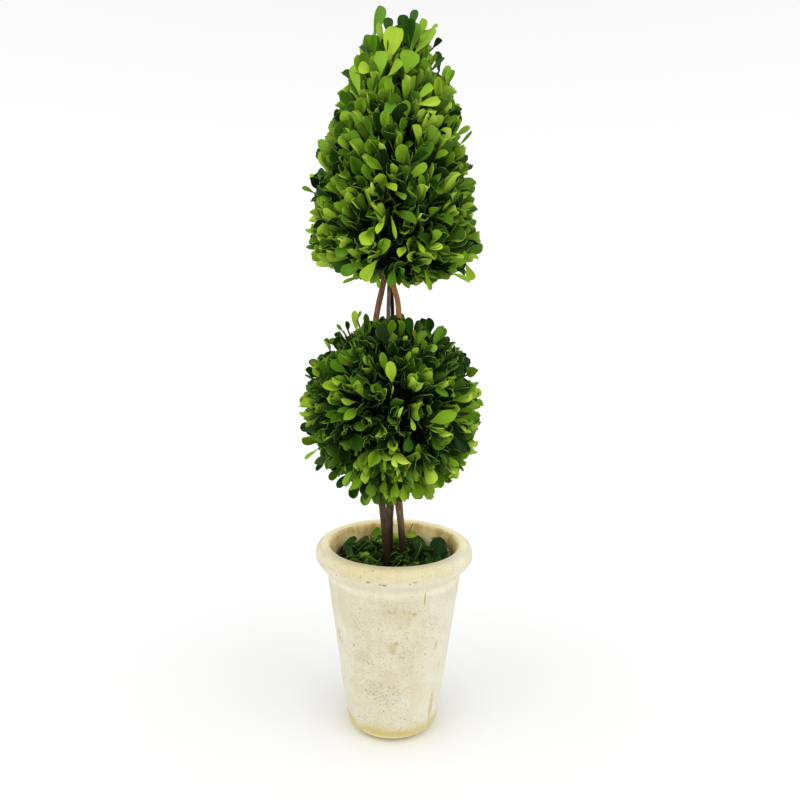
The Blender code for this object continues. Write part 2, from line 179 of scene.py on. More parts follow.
# Leaves that show clearly in the photograph: root, tip and width in its pixels, and tint, 0 the deepest
CONE_SEEN = (
    (374, 36, 382, 7, 10, 2), (388, 34, 388, 18, 9, 1), (382, 48, 378, 24, 6, 3),
    (389, 61, 398, 27, 18, 4), (402, 38, 404, 16, 10, 1), (411, 30, 415, 9, 8, 1),
    (411, 51, 415, 21, 13, 2), (420, 36, 424, 19, 7, 3), (415, 53, 435, 30, 13, 3),
    (431, 29, 438, 24, 3, 3), (433, 48, 443, 41, 6, 0), (368, 58, 359, 43, 6, 1),
    (375, 55, 372, 34, 9, 2), (368, 51, 368, 34, 6, 2), (381, 75, 381, 49, 12, 3),
    (406, 73, 412, 50, 18, 3), (388, 77, 404, 63, 13, 3), (372, 71, 358, 67, 11, 4),
    (360, 95, 352, 62, 10, 3), (353, 82, 342, 71, 10, 1), (361, 116, 361, 97, 11, 3),
    (393, 103, 384, 78, 9, 3), (384, 131, 386, 109, 9, 3), (407, 117, 405, 100, 9, 3),
    (417, 105, 441, 101, 9, 4), (402, 167, 401, 141, 13, 3), (418, 147, 414, 124, 11, 4),
    (360, 175, 350, 156, 13, 2), (372, 182, 363, 165, 11, 2), (382, 169, 367, 157, 9, 3),
    (407, 180, 428, 163, 9, 3), (410, 164, 430, 153, 8, 1), (432, 159, 448, 152, 8, 3),
    (445, 169, 455, 152, 8, 3), (364, 154, 351, 129, 8, 2), (373, 139, 361, 116, 9, 2),
    (402, 133, 400, 116, 10, 2), (456, 136, 470, 126, 6, 3), (460, 145, 472, 131, 3, 2),
    (461, 172, 473, 170, 9, 2), (331, 152, 318, 140, 8, 3), (314, 193, 302, 186, 5, 2),
    (374, 230, 361, 246, 15, 4), (385, 216, 377, 235, 7, 4), (391, 216, 396, 240, 4, 4),
    (393, 211, 417, 225, 10, 2), (405, 247, 399, 260, 9, 4), (417, 241, 426, 257, 5, 4),
    (430, 247, 420, 236, 12, 1), (442, 213, 450, 201, 11, 3), (430, 216, 435, 204, 9, 3),
    (361, 210, 347, 200, 11, 4), (385, 183, 397, 194, 9, 4), (396, 191, 404, 204, 9, 3),
    (362, 275, 343, 284, 4, 3), (377, 261, 363, 281, 13, 4), (363, 264, 340, 275, 12, 2),
    (350, 262, 335, 272, 12, 1), (378, 275, 379, 288, 4, 3), (394, 268, 390, 288, 8, 2),
    (400, 271, 403, 281, 3, 1), (413, 266, 418, 276, 8, 2), (425, 271, 431, 291, 5, 3),
    (433, 272, 437, 281, 4, 1), (451, 273, 470, 283, 6, 3), (466, 264, 473, 281, 9, 4),
    (409, 49, 409, 20, 12, 1), (399, 47, 401, 24, 11, 1), (424, 52, 428, 28, 12, 3),
    (383, 60, 385, 38, 8, 1), (366, 70, 364, 51, 9, 2), (439, 72, 431, 50, 9, 1),
    (430, 72, 445, 60, 4, 1), (432, 63, 434, 50, 5, 4), (424, 62, 429, 48, 5, 2),
    (441, 79, 450, 65, 6, 3), (446, 87, 453, 69, 8, 3), (437, 99, 439, 76, 8, 4),
    (430, 86, 427, 69, 8, 2), (415, 102, 433, 82, 8, 3), (413, 93, 415, 75, 6, 3),
    (404, 97, 404, 79, 5, 3), (393, 97, 389, 113, 11, 2), (374, 99, 369, 77, 9, 3),
    (346, 101, 338, 92, 6, 3),
)
BALL_SEEN = (
    (357, 332, 354, 310, 7, 4), (357, 320, 361, 311, 3, 3), (367, 330, 366, 314, 6, 2),
    (343, 331, 336, 325, 4, 3), (348, 331, 346, 321, 5, 1), (335, 346, 335, 333, 9, 2),
    (330, 351, 324, 340, 8, 3), (388, 345, 377, 326, 14, 0), (375, 338, 372, 322, 9, 1),
    (390, 337, 391, 317, 9, 3), (402, 336, 398, 320, 7, 3), (384, 334, 385, 320, 6, 2),
    (395, 356, 393, 342, 12, 1), (433, 346, 445, 327, 12, 2), (421, 350, 426, 339, 8, 3),
    (416, 342, 414, 327, 4, 4), (364, 397, 358, 379, 10, 4), (344, 387, 322, 385, 11, 4),
    (355, 402, 341, 401, 9, 4), (353, 409, 338, 411, 6, 2), (357, 410, 344, 419, 10, 3),
    (392, 382, 390, 362, 11, 4), (385, 371, 382, 351, 8, 3), (382, 398, 387, 388, 9, 4),
    (391, 397, 395, 386, 5, 4), (396, 423, 407, 409, 8, 4), (431, 422, 458, 414, 14, 3),
    (429, 416, 431, 405, 9, 3), (411, 418, 415, 432, 5, 4), (432, 385, 448, 396, 7, 2),
    (409, 436, 408, 452, 10, 1), (420, 456, 419, 442, 6, 3), (353, 432, 361, 452, 15, 1),
    (347, 445, 344, 464, 12, 0), (378, 449, 369, 468, 13, 3), (361, 471, 354, 490, 9, 3),
    (385, 480, 384, 495, 8, 3), (396, 481, 394, 499, 9, 3), (404, 484, 404, 501, 7, 4),
    (416, 482, 419, 498, 13, 3), (461, 417, 482, 417, 8, 2), (467, 375, 478, 370, 10, 4),
    (318, 442, 301, 438, 10, 3), (316, 377, 303, 370, 10, 2), (347, 373, 329, 362, 11, 2),
    (377, 339, 376, 320, 9, 2), (384, 335, 381, 319, 7, 3), (370, 340, 370, 323, 8, 1),
    (379, 328, 385, 315, 6, 1), (399, 338, 404, 322, 7, 2), (411, 338, 408, 316, 9, 1),
    (430, 333, 428, 317, 9, 1), (340, 343, 341, 330, 8, 1), (318, 449, 303, 459, 4, 3),
    (326, 458, 316, 471, 5, 1), (340, 468, 329, 480, 8, 2), (348, 474, 338, 487, 8, 1),
    (358, 480, 352, 498, 10, 1), (434, 470, 441, 488, 9, 2), (443, 455, 459, 466, 7, 3),
    (452, 432, 468, 452, 11, 0),
)
LITTER_SEEN = (
    (448, 560, 433, 538, 16, 0), (431, 554, 443, 548, 6, 2), (416, 553, 427, 550, 8, 1),
    (415, 559, 429, 561, 7, 1), (391, 560, 409, 557, 12, 1), (412, 564, 420, 563, 3, 3),
    (357, 542, 369, 538, 6, 1), (361, 547, 372, 543, 5, 3), (367, 549, 382, 546, 8, 1),
    (371, 535, 381, 530, 8, 2), (374, 538, 382, 543, 5, 4), (392, 533, 399, 539, 6, 4),
    (393, 543, 392, 553, 6, 3), (405, 538, 417, 535, 8, 4), (405, 540, 408, 548, 5, 3),
    (344, 544, 356, 538, 6, 1), (347, 552, 359, 549, 7, 0), (350, 545, 352, 556, 6, 0),
    (357, 560, 362, 552, 4, 2), (364, 562, 374, 556, 5, 2), (373, 556, 383, 553, 6, 0),
    (418, 548, 425, 546, 5, 0), (432, 561, 444, 557, 6, 1), (361, 555, 371, 551, 6, 1),
)

# How near to those leaves, in pixels, no other leaf's middle or tip stands before them
CLEAR_PIXELS = 6.5
LITTER_CLEAR_PIXELS = 2.2
CLEAR_DEPTH = 8 * MM

# How far out such a leaf's root and tip are, with the leaves' outline or the litter's ground as 1
SEEN_ROOT = 0.82
LITTER_SEEN_ROOT = 1.02
SEEN_TIP = 1.04

# How much nearer or further than its root such a leaf's tip may be, and how long its twig is
SEEN_SLANT = 12 * MM
SEEN_TWIG = 14 * MM

# Where the search along a pixel's ray starts, in millimetres along Y
NEAREST_DEPTH = -90

# Leaves: real preserved box leaves are 16 to 28 mm long
LEAF_LENGTH = 23.0 * MM
LEAF_RATIO = 0.39
LEAF_THICKNESS = 0.34 * MM
LEAF_COLUMNS = np.array((-1.0, -0.52, 0.0, 0.52, 1.0))
LEAF_ROWS = np.array((0.0, 0.18, 0.38, 0.56, 0.71, 0.83, 0.92, 0.975, 1.0))

# The angle in degrees over which a leaf's edges stay sharp
LEAF_SHARP = 55

# Twigs, and how much of a leaf stands past its twig's end
TWIG_RADIUS = 0.75 * MM
TWIG_SIDES = 6
TWIG_BOW = 1.2 * MM
LEAF_PAST_TWIG = 0.86

# A twig's pairs of leaves from the tip down: the least and most millimetres between two, length, and
# darkening as painted shade deep in the mass
PAIR_GAP = (3.2, 5.2)
PAIR_LENGTHS = (0.88, 1.0, 1.04, 0.95)
PAIR_PAINTED_SHADE = (0, 0, 1, 2)

# How rough the foam cores are
CORE_DENTS = 1.2 * MM

# Tints: for each, the upper side and the paler underside
TINTS = {
    "deep": ((0.014, 0.052, 0.004), (0.045, 0.103, 0.011)),
    "dark": ((0.044, 0.125, 0.009), (0.107, 0.210, 0.020)),
    "mid": ((0.142, 0.285, 0.017), (0.238, 0.382, 0.038)),
    "fresh": ((0.264, 0.428, 0.030), (0.352, 0.498, 0.058)),
    "bright": ((0.395, 0.530, 0.052), (0.460, 0.590, 0.088)),
}
TINT_NAMES = list(TINTS)

# How many of each tint out of 100, from a mass's bottom to its top
# The ball's tints darken toward its top, partly for its darker glossy leaves there and partly as painted
# shade under the cone.
BALL_PALETTES = ((4, 17, 29, 29, 21), (16, 29, 25, 16, 14), (31, 37, 20, 8, 4))
CONE_PALETTES = ((9, 22, 27, 24, 18), (6, 18, 28, 28, 20), (0, 5, 21, 39, 35))
LITTER_PALETTES = ((36, 42, 19, 3, 0),)

# Marks as degrees round from the front, height, half width and half height in millimetres, strength
BROWN_MARKS = (
    (-16.9, 158.6, 1.6, 0.8, 0.8), (-8.6, 157.6, 1.2, 0.6, 0.6), (-5.6, 157.2, 1.7, 0.8, 0.9),
    (11.1, 157.8, 0.9, 0.9, 0.6), (14.6, 159.4, 1.5, 0.8, 0.6), (-42.2, 158.4, 0.9, 0.6, 0.7),
    (-22.1, 162.0, 0.7, 0.5, 0.6), (-14.1, 167.6, 0.6, 0.5, 0.6), (36.0, 113.0, 1.8, 0.6, 0.45),
    (-62.0, 90.0, 1.2, 1.6, 0.5), (-39.0, 92.0, 1.4, 1.8, 0.45), (32.3, 86.0, 1.3, 0.9, 0.6),
    (-27.5, 51.0, 1.4, 1.0, 0.45), (-9.2, 33.6, 0.8, 0.8, 0.6), (15.0, 25.1, 1.0, 0.9, 0.5),
    (103.0, 121.0, 2.0, 1.2, 0.5), (141.0, 152.0, 1.6, 0.7, 0.7), (168.0, 84.0, 1.5, 1.9, 0.5),
    (-118.0, 66.0, 1.3, 1.1, 0.5), (-152.0, 137.0, 1.9, 1.0, 0.5), (-171.0, 158.0, 1.4, 0.7, 0.7),
    (84.0, 40.0, 1.0, 1.2, 0.5),
)
OCHRE_MARKS = (
    (-28.0, 129.0, 1.6, 0.9, 0.55), (-23.5, 127.0, 0.9, 0.7, 0.4), (-3.5, 130.2, 1.5, 1.7, 0.38),
    (1.5, 129.2, 2.1, 2.0, 0.45), (9.0, 129.2, 1.6, 1.7, 0.38), (14.0, 127.8, 1.8, 1.6, 0.42),
    (18.0, 126.2, 1.9, 2.8, 0.50), (26.5, 139.0, 0.65, 7.5, 0.9), (3.4, 100.0, 2.6, 2.2, 0.60),
    (0.2, 94.5, 3.6, 6.5, 0.36), (13.5, 121.0, 3.2, 6.5, 0.24), (2.0, 124.0, 27.0, 12.0, 0.11),
    (45.0, 91.0, 1.8, 4.5, 0.5), (55.1, 69.5, 1.4, 3.5, 0.4), (50.6, 29.0, 3.0, 17.0, 0.45),
    (-63.0, 96.0, 1.6, 4.5, 0.45), (118.0, 141.0, 0.8, 8.5, 0.8), (-133.0, 74.0, 2.4, 5.0, 0.5),
    (-96.0, 30.0, 2.0, 11.0, 0.6), (163.0, 30.0, 2.4, 9.0, 0.6),
)
PITTED_ZONES = (
    (-9.5, 50.0, 17.0, 13.0, 1.0), (36.0, 115.0, 9.0, 7.0, 1.0), (12.6, 88.0, 7.0, 6.0, 0.8),
    (-61.0, 93.0, 6.0, 7.0, 0.9), (150.0, 62.0, 16.0, 12.0, 1.0), (-120.0, 112.0, 8.0, 9.0, 1.0),
)

# Bark: dark and pale shades at the pot, then between ball and cone
BARK_COLOURS = {
    "stem_front_left": (
        (0.066, 0.045, 0.028), (0.195, 0.148, 0.098),
        (0.170, 0.098, 0.058), (0.380, 0.232, 0.135),
    ),
    "stem_right": (
        (0.115, 0.075, 0.045), (0.400, 0.285, 0.185),
        (0.345, 0.160, 0.076), (0.600, 0.325, 0.165),
    ),
    "stem_middle": (
        (0.095, 0.076, 0.050), (0.350, 0.285, 0.185),
        (0.150, 0.135, 0.105), (0.420, 0.385, 0.310),
    ),
    # The back stem's upper bark, between ball and cone, is near-black: painted shade.
    "stem_back": (
        (0.105, 0.075, 0.045), (0.370, 0.275, 0.170),
        (0.022, 0.015, 0.010), (0.070, 0.052, 0.036),
    ),
}
STEM_SLOTS = dict(zip(BARK_COLOURS, ("dark_bark", "red_bark", "grey_bark", "dark_bark")))

# The bark's corners round a stem, the distance between its rings and the angle over which edges stay sharp
STEM_SIDES = 22
STEM_STEP = 1.8 * MM
BARK_SHARP = 60


# Nodes
class Value:
    """A number, vector or colour that a tree's nodes work out, for use with Python's own signs."""

    def __init__(self, tree, socket):
        self.tree = tree
        self.socket = socket

    def __add__(self, other):
        return self.maths("ADD", other)

    def __sub__(self, other):
        return self.maths("SUBTRACT", other)

    def __mul__(self, other):
        return self.maths("MULTIPLY", other)

    def __abs__(self):
        return self.maths("ABSOLUTE")

    def larger(self, other):
        return self.maths("MAXIMUM", other)

    def maths(self, operation, other=0.0):
        return add_node(self.tree, "Math", 0, {0: self, 1: other}, operation=operation)

    def ranged(self, low, high, to_low, to_high, smooth=True):
        """The value moved from one range to another, and held inside it."""
        inputs = {"Value": self, "From Min": low, "From Max": high, "To Min": to_low, "To Max": to_high}
        kind = "SMOOTHSTEP" if smooth else "LINEAR"
        return add_node(self.tree, "MapRange", "Result", inputs, interpolation_type=kind)

    def ramp(self, *stops):
        """A colour ramp over the value, from stops of (position, colour)."""
        made = add_node(self.tree, "ValToRGB", "Color", {"Fac": self})
        ramp = made.socket.node.color_ramp
        while len(ramp.elements) < len(stops):
            ramp.elements.new(0.5)
        for element, (position, colour) in zip(ramp.elements, stops):
            element.position = position
            element.color = (*colour, 1)
        return made

    def mixed(self, share, colour):
        """This colour with a share of another, which is a Value or red, green and blue."""
        other = colour if isinstance(colour, Value) else (*colour, 1)
        return add_node(self.tree, "Mix", 2, {0: share, 6: self, 7: other}, data_type="RGBA")

    def axes(self):
        made = add_node(self.tree, "SeparateXYZ", 0, {"Vector": self})
        return [Value(self.tree, output) for output in made.socket.node.outputs]


def feed(socket, value):
    """Links a Value to a socket, or sets the socket to a plain one."""
    if isinstance(value, Value):
        value.tree.links.new(value.socket, socket)
    else:
        socket.default_value = value


def add_node(tree, kind, output, inputs, **settings):
    """The Value at an output of a new node with these inputs and settings."""
    made = tree.nodes.new("ShaderNode" + kind)
    for key, setting in settings.items():
        setattr(made, key, setting)
    for key, value in inputs.items():
        feed(made.inputs[key], value)
    return Value(tree, made.outputs[output])


class Surface:
    """A Principled material."""

    def __init__(self, name, colour, roughness, gloss=0.5):
        self.material = bpy.data.materials.new(name)
        self.material.use_nodes = True
        self.tree = self.material.node_tree
        self.set("Base Color", (*colour, 1))
        self.set("Roughness", roughness)
        self.set("Specular IOR Level", gloss)

    def set(self, key, value):
        feed(self.tree.nodes["Principled BSDF"].inputs[key], value)

    def place(self, stretch=(1, 1, 1)):
        """Object-space position, scaled along each axis."""
        start = add_node(self.tree, "TexCoord", "Object", {})
        return add_node(self.tree, "Mapping", "Vector", {"Vector": start, "Scale": stretch})

    def noise(self, scale, detail=4.0, roughness=0.55, distortion=0.0, stretch=(1, 1, 1)):
        """A noise texture's value, with its scale in waves a metre."""
        inputs = {"Scale": scale, "Detail": detail, "Roughness": roughness, "Distortion": distortion}
        return add_node(self.tree, "TexNoise", "Fac", {"Vector": self.place(stretch), **inputs})

    def bump(self, height, strength, distance):
        inputs = {"Height": height, "Strength": strength, "Distance": distance}
        self.set("Normal", add_node(self.tree, "Bump", "Normal", inputs))


# Materials
def leaf_material(name, colour, roughness, vein_depth):
    """A leaf's surface in one plain tint, with veins and a fine grain in its relief and gloss."""
    look = Surface(name, colour, roughness, 0.32)
    across, along, _ = add_node(look.tree, "UVMap", "UV", {}, uv_map="leaf").axes()
    rise = along - abs(across - 0.5) * 0.55
    veins = (rise * 58.0).maths("SINE")
    look.bump(veins * 0.35 + look.noise(900), 0.5, vein_depth)
    look.set("Roughness", look.noise(210, 2).ranged(0.3, 0.7, roughness - 0.08, roughness + 0.10))
    return look.material


def grainy_material(name, colour, roughness, grain, strength, depth, stops=(), gloss=0.5):
    """A surface whose relief, and shades where it has stops, come from a noise of these settings."""
    look = Surface(name, colour, roughness, gloss)
    height = look.noise(*grain)
    if stops:
        look.set("Base Color", height.ramp(*stops))
    look.bump(height, strength, depth * MM)
    return look.material


def leaf_materials():
    """For each tint its upper side, underside and pale margin."""
    edge = grainy_material("leaf_margin", (0.27, 0.38, 0.06), 0.5, (1200,), 0.2, 0.05)
    made = {}
    for tint, (upper, under) in TINTS.items():
        top = leaf_material("leaf_upper_" + tint, upper, 0.42, 0.06 * MM)
        bottom = leaf_material("leaf_under_" + tint, under, 0.60, 0.09 * MM)
        made[tint] = (top, bottom, edge)
    return made


def twig_material():
    return grainy_material("green_twig", (0.12, 0.13, 0.03), 0.6, (500, 4, 0.55, 0, (1, 1, 0.3)), 0.4, 0.15)


def foam_material():
    """Coarse foam, near-black: partly its own dark tone and partly painted shade deep between the leaves.
    """
    # Painted shade: the foam is made near-black to stand for the shade in the gaps between the leaves.
    stops = ((0.3, (0.003, 0.005, 0.002)), (0.7, (0.014, 0.022, 0.007)))
    return grainy_material("foam_painted_shade", (0.006, 0.010, 0.003), 0.95, (420, 6), 0.8, 0.8, stops, 0.1)


def soil_material(name):
    """Very dark brown crumbly ground."""
    stops = ((0.35, (0.008, 0.005, 0.003)), (0.55, (0.022, 0.014, 0.008)), (0.75, (0.060, 0.042, 0.025)))
    return grainy_material(name, (0.020, 0.013, 0.008), 0.95, (380, 6, 0.6), 0.9, 1.0, stops)


def lump_material():
    """Pale grey crumbs of plaster."""
    stops = ((0.35, (0.20, 0.20, 0.16)), (0.65, (0.55, 0.56, 0.49)))
    return grainy_material("plaster_lump", (0.42, 0.43, 0.36), 0.9, (700, 5, 0.6), 0.8, 0.5, stops)


def bark_material(node):
    """Thin bark with lengthwise streaks, darker at the pot, redder or paler between ball and cone, where
    the back stem is near-black as painted shade.
    """
    low_dark, low_pale, high_dark, high_pale = BARK_COLOURS[node]
    look = Surface("bark_of_" + node, low_pale, 0.72, 0.3)
    streaks = look.noise(1500, 4, 0.62, 0.3, (1, 1, 0.09))
    blotches = look.noise(260, 3, stretch=(1, 1, 0.5))
    tone = streaks * 0.65 + blotches * 0.35
    low = tone.ramp((0.36, low_dark), (0.64, low_pale))
    high = tone.ramp((0.36, high_dark), (0.64, high_pale))
    height = look.place().axes()[2]
    colour = low.mixed(height.ranged(190 * MM, 370 * MM, 0, 1), high)
    # The bark is darkened almost to black just above the filling, fading out higher up.
    darkened_low = height.ranged(166 * MM, 202 * MM, 0.93, 0)
    look.set("Base Color", colour.mixed(darkened_low, (0.034, 0.019, 0.007)))
    look.bump(tone, 0.7, 0.35 * MM)
    return look.material


# The pot's finish
class Clay(Surface):
    """Cream clay with mottling, speckles, brown and ochre marks and a foot stain, painted light at its
    sides, under the rim, on the rim's inner edge and at the foot's bottom, and painted shade on the rim's
    front, or its tan inside.
    """

    def __init__(self, name, lined):
        super().__init__(name, (0.66, 0.60, 0.42), 0.80, 0.35)
        x, y, self.height = self.place().axes()
        self.angle = x.maths("ARCTAN2", y * -1.0)
        self.radius = (x * x + y * y).maths("SQRT")
        self.weave = self.noise(800, 4, 0.7, stretch=(0.6, 0.6, 1))
        self.speck = self.noise(1100, 2, 0.6)
        self.pits = self.pitted()
        wobble = self.noise(800, 3, 0.65).ranged(0.3, 0.7, -0.7, 1.1, False)
        browns = self.marks(BROWN_MARKS, wobble)
        colour = self.painted_light_and_shade(self.grained())
        colour = self.foot_stain_and_painted_light(colour).mixed(self.marks(OCHRE_MARKS, wobble), (0.42, 0.33, 0.11))
        colour = colour.mixed(browns, (0.27, 0.19, 0.09))
        self.set("Base Color", self.tanned(colour) if lined else colour)
        relief = self.weave + self.speck * 0.8 - self.pits.larger(browns) * 1.2
        self.bump(relief, 0.6, 0.36 * MM)

    def between(self, low, high, to_low, to_high):
        """A share that changes between two heights in millimetres."""
        return self.height.ranged(low * MM, high * MM, to_low, to_high)

    def marks(self, marks, wobble=0.0):
        """A soft blotch for each mark, the strongest where they meet."""
        made = []
        for degrees, rise, half_width, half_height, strength in marks:
            radius = POT_LOWER_RADIUS + (POT_UPPER_RADIUS - POT_LOWER_RADIUS) * rise * MM / POT_SIDE_TOP
            across = (self.angle - math.radians(degrees)) * (radius / (half_width * MM))
            along = (self.height - rise * MM) * (1 / (half_height * MM))
            square = across.maths("POWER", 2) + along.maths("POWER", 2)
            made.append((square + wobble).ranged(0.3, 1.5, strength, 0))
        return functools.reduce(Value.larger, made)

    def pitted(self):
        """Small pits, scattered all over and dense in some zones."""
        dense = self.noise(560, 1, 0.5).ranged(0.54, 0.62, 0, 1)
        scattered = self.noise(620, 1, 0.4).ranged(0.66, 0.73, 0, 1)
        return scattered.larger(dense * self.marks(PITTED_ZONES))

    def grained(self):
        """The ground colour with its clouds, streaks, weave, specks and pits."""
        stops = ((0.32, (0.60, 0.55, 0.415)), (0.50, (0.625, 0.595, 0.475)), (0.70, (0.65, 0.64, 0.555)))
        colour = self.noise(38, 5, 0.6).ramp(*stops)
        streaks = self.noise(150, 3, 0.6, stretch=(1, 1, 0.12))
        colour = colour.mixed(streaks.ranged(0.48, 0.72, 0, 0.22), (0.53, 0.47, 0.33))
        colour = colour.mixed(self.weave.ranged(0.45, 0.70, 0, 0.36), (0.42, 0.38, 0.28))
        patches = self.noise(45, 3, 0.5).ranged(0.44, 0.62, 0.15, 1)
        colour = colour.mixed(self.speck.ranged(0.58, 0.68, 0, 0.55) * patches, (0.31, 0.28, 0.19))
        return colour.mixed(self.pits * 0.42, (0.36, 0.31, 0.18))

    def painted_light_and_shade(self, colour):
        """Painted light and shade: the rim's front yellower and darker, partly its own tone and partly
        painted shade on its lit top, and painted light that makes the clay paler at the sides, under the
        rim and on the rim's inner edge.
        """
        aside = abs(self.angle)
        across = self.angle.maths("SINE")
        rim = self.between(156, 164, 0, 1)
        # Rim's front: partly its own yellower tone, partly painted shade that darkens its lit top.
        near = rim * aside.ranged(0.6, 1.1, 0.45, 0)
        # Painted light: paler and whiter toward both sides, more on the right, as the light and sheen that
        # fall there.
        sides = across.ranged(0.2, 0.9, 0, 0.36).larger(across.ranged(-0.95, -0.5, 0.24, 0))
        # Painted light: paler under the rim, where the roll casts shade.
        under = self.between(137, 147, 0, 0.42) * self.between(155, 161, 1, 0)
        # Painted light: paler on the rim's inner edge at the sides and back, where it lies in shade.
        far = self.radius.ranged(63 * MM, 66 * MM, 0.75, 0) * aside.ranged(0.8, 1.5, 0, 1) * rim
        colour = colour.mixed(near, (0.55, 0.475, 0.24))
        colour = colour.mixed(sides * self.between(100, 145, 1, 0.4), (0.74, 0.73, 0.66))
        return colour.mixed(under, (0.88, 0.83, 0.68)).mixed(far, (0.95, 0.86, 0.62))

    def foot_stain_and_painted_light(self, colour):
        """The ochre stain band round the foot, with a ragged upper edge, and painted light that makes its
        bottom pale where the foot's rounding is in shade.
        """
        edge = self.height + self.noise(55, 3).ranged(0.3, 0.7, -4 * MM, 4 * MM, False)
        foot = self.noise(70, 3).ramp((0.38, (0.56, 0.505, 0.27)), (0.62, (0.52, 0.435, 0.18)))
        colour = colour.mixed(edge.ranged(8 * MM, 22 * MM, 0.95, 0), foot)
        # Painted light: the lowest part of the foot is made pale where its rounding turns down into shade.
        return colour.mixed(self.between(3, 11, 0.9, 0), (0.93, 0.84, 0.50))

    def tanned(self, colour):
        """The wall's inside, with water stains."""
        wall = self.noise(52, 4, 0.55, 0.2, (1, 1, 0.6))
        tan = wall.ramp((0.36, (0.60, 0.46, 0.22)), (0.50, (0.93, 0.75, 0.39)), (0.64, (1.00, 0.90, 0.60)))
        ragged = self.radius + wall.ranged(0.3, 0.7, -0.8 * MM, 0.8 * MM, False)
        return colour.mixed(ragged.ranged(56.6 * MM, 57.8 * MM, 1, 0), tan)


# Meshes
def link_object(name, data):
    item = bpy.data.objects.new(name, data)
    bpy.context.scene.collection.objects.link(item)
    return item


def mesh_of(name, corners, faces):
    mesh = bpy.data.meshes.new(name)
    mesh.from_pydata(corners, [], faces)
    return mesh


def mesh_from(name, shape):
    """A mesh from a bmesh, which is freed."""
    mesh = bpy.data.meshes.new(name)
    shape.to_mesh(mesh)
    shape.free()
    return mesh


def add_piece(mesh, looks, node, sharp=None):
    """Makes a mesh a piece that stands for a CAD node, with edges over an angle in degrees kept sharp."""
    mesh.shade_smooth()
    if sharp:
        mesh.set_sharp_from_angle(angle=math.radians(sharp))
    for look in looks:
        mesh.materials.append(look)
    piece = link_object(mesh.name, mesh)
    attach(piece, "root")
    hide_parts(node)


def circle(count):
    """Cosines and sines evenly round a circle."""
    turns = [2 * math.pi * k / count for k in range(count)]
    return [(math.cos(turn), math.sin(turn)) for turn in turns]


def band_faces(low, high, around):
    """Faces between two rings of corners, from the number of each ring's first corner."""
    after = [(k + 1) % around for k in range(around)]
    return [(low + k, low + after[k], high + after[k], high + k) for k in range(around)]


def at_turn(radius, turn, height):
    """A place or direction at a turn round the upright axis, in radians from +X."""
    return Vector((radius * math.cos(turn), radius * math.sin(turn), height))


def axes_along(direction, upper):
    """Axes with X along the direction and Z as near to the upper side as can be."""
    along = direction.normalized()
    side = upper.cross(along)
    if side.length < 1e-6:
        side = along.orthogonal()
    side.normalize()
    return Matrix((along, side, along.cross(side))).transposed()


def jittered(direction, amount, draw):
    shift = Vector((draw.gauss(0, amount), draw.gauss(0, amount), draw.gauss(0, amount)))
    return (direction + shift).normalized()


class Leaf:
    """One leaf's place and shape. Angles are in radians, and bend is over its whole length."""

    def __init__(self, root, direction, upper, length, tint, draw):
        self.root = root
        self.axes = axes_along(direction, upper)
        self.length = length
        self.tint = tint
        self.width = length * LEAF_RATIO * draw.uniform(0.80, 1.25)
        self.waist = draw.uniform(0.54, 0.74)
        self.cup = draw.gauss(0.42, 0.38)
        self.fold = draw.uniform(0.02, 0.32)
        self.bend = draw.gauss(0.05, 0.36)
        self.twist = draw.gauss(0, 0.35)
        self.ripple = draw.uniform(0, 0.10)
        self.phase = draw.uniform(0, 2 * math.pi)
        self.notch = draw.uniform(0.0, 0.05)


def leaf_faces():
    """Faces of one leaf as rows of corner numbers, with the material slot of each."""
    rows, columns = len(LEAF_ROWS), len(LEAF_COLUMNS)
    under = rows * columns
    faces, slots = [], []
    for j in range(rows - 1):
        for first in range(j * columns, (j + 1) * columns - 1):
            quad = [first, first + columns, first + columns + 1, first + 1]
            faces.append(quad[::-1])
            faces.append([corner + under for corner in quad])
            slots += [0, 1]
    border = [*range(columns), *range(2 * columns - 1, under, columns)]
    border += [*range(under - 2, under - columns - 1, -1), *range(under - 2 * columns, 0, -columns)]
    for corner, after in zip(border, border[1:] + border[:1]):
        faces.append([corner + under, after + under, after, corner])
        slots.append(2)
    return np.array(faces), np.array(slots)


def leaf_corners(leaves):
    """Corners of every leaf, as an array of leaves by corners by three, upper side first."""

    def each(key):
        return np.array([getattr(leaf, key) for leaf in leaves])[:, None, None]

    across, along = np.meshgrid(LEAF_COLUMNS, LEAF_ROWS)
    across, along = across[None], along[None]
    length, waist = each("length"), each("waist")
    rise = np.clip(along / waist, 0, 1)
    fall = np.clip((along - waist) / (1 - waist), 0, 1)
    outline = 0.13 + 0.87 * (3 * rise**2 - 2 * rise**3) ** 0.80
    outline = outline * (0.16 + 0.84 * np.sqrt(1 - 0.999 * fall**2.2))
    half = each("width") / 2 * outline
    side = half * across
    forward = along - along**8 * (each("notch") * (1 - np.abs(across)) + 0.05 * across**2)
    height = each("cup") * half * across**2 + each("fold") * np.abs(side)
    height = height + each("ripple") * half * across**2 * np.sin(9 * along + each("phase"))
    rib = np.where(np.abs(across) < 0.2, 1.0, 0.0) * (1 - along)
    turn = each("twist") * along
    bend = np.where(np.abs(each("bend")) > 0.02, each("bend"), 0.02)
    angle = bend * forward
    radius = length / bend
    sides = []
    for way, groove in ((1, 0.10 * MM), (-1, 0.22 * MM)):
        lift = height + way * LEAF_THICKNESS / 2 - groove * rib
        y = side * np.cos(turn) - lift * np.sin(turn)
        z = side * np.sin(turn) + lift * np.cos(turn)
        x = (radius - z) * np.sin(angle)
        z = radius - (radius - z) * np.cos(angle)
        sides.append(np.stack([x, y + 0 * x, z], axis=-1).reshape(len(leaves), -1, 3))
    axes = np.array([leaf.axes for leaf in leaves])
    roots = np.array([leaf.root for leaf in leaves])
    return np.einsum("nij,nkj->nki", axes, np.concatenate(sides, axis=1)) + roots[:, None, :]


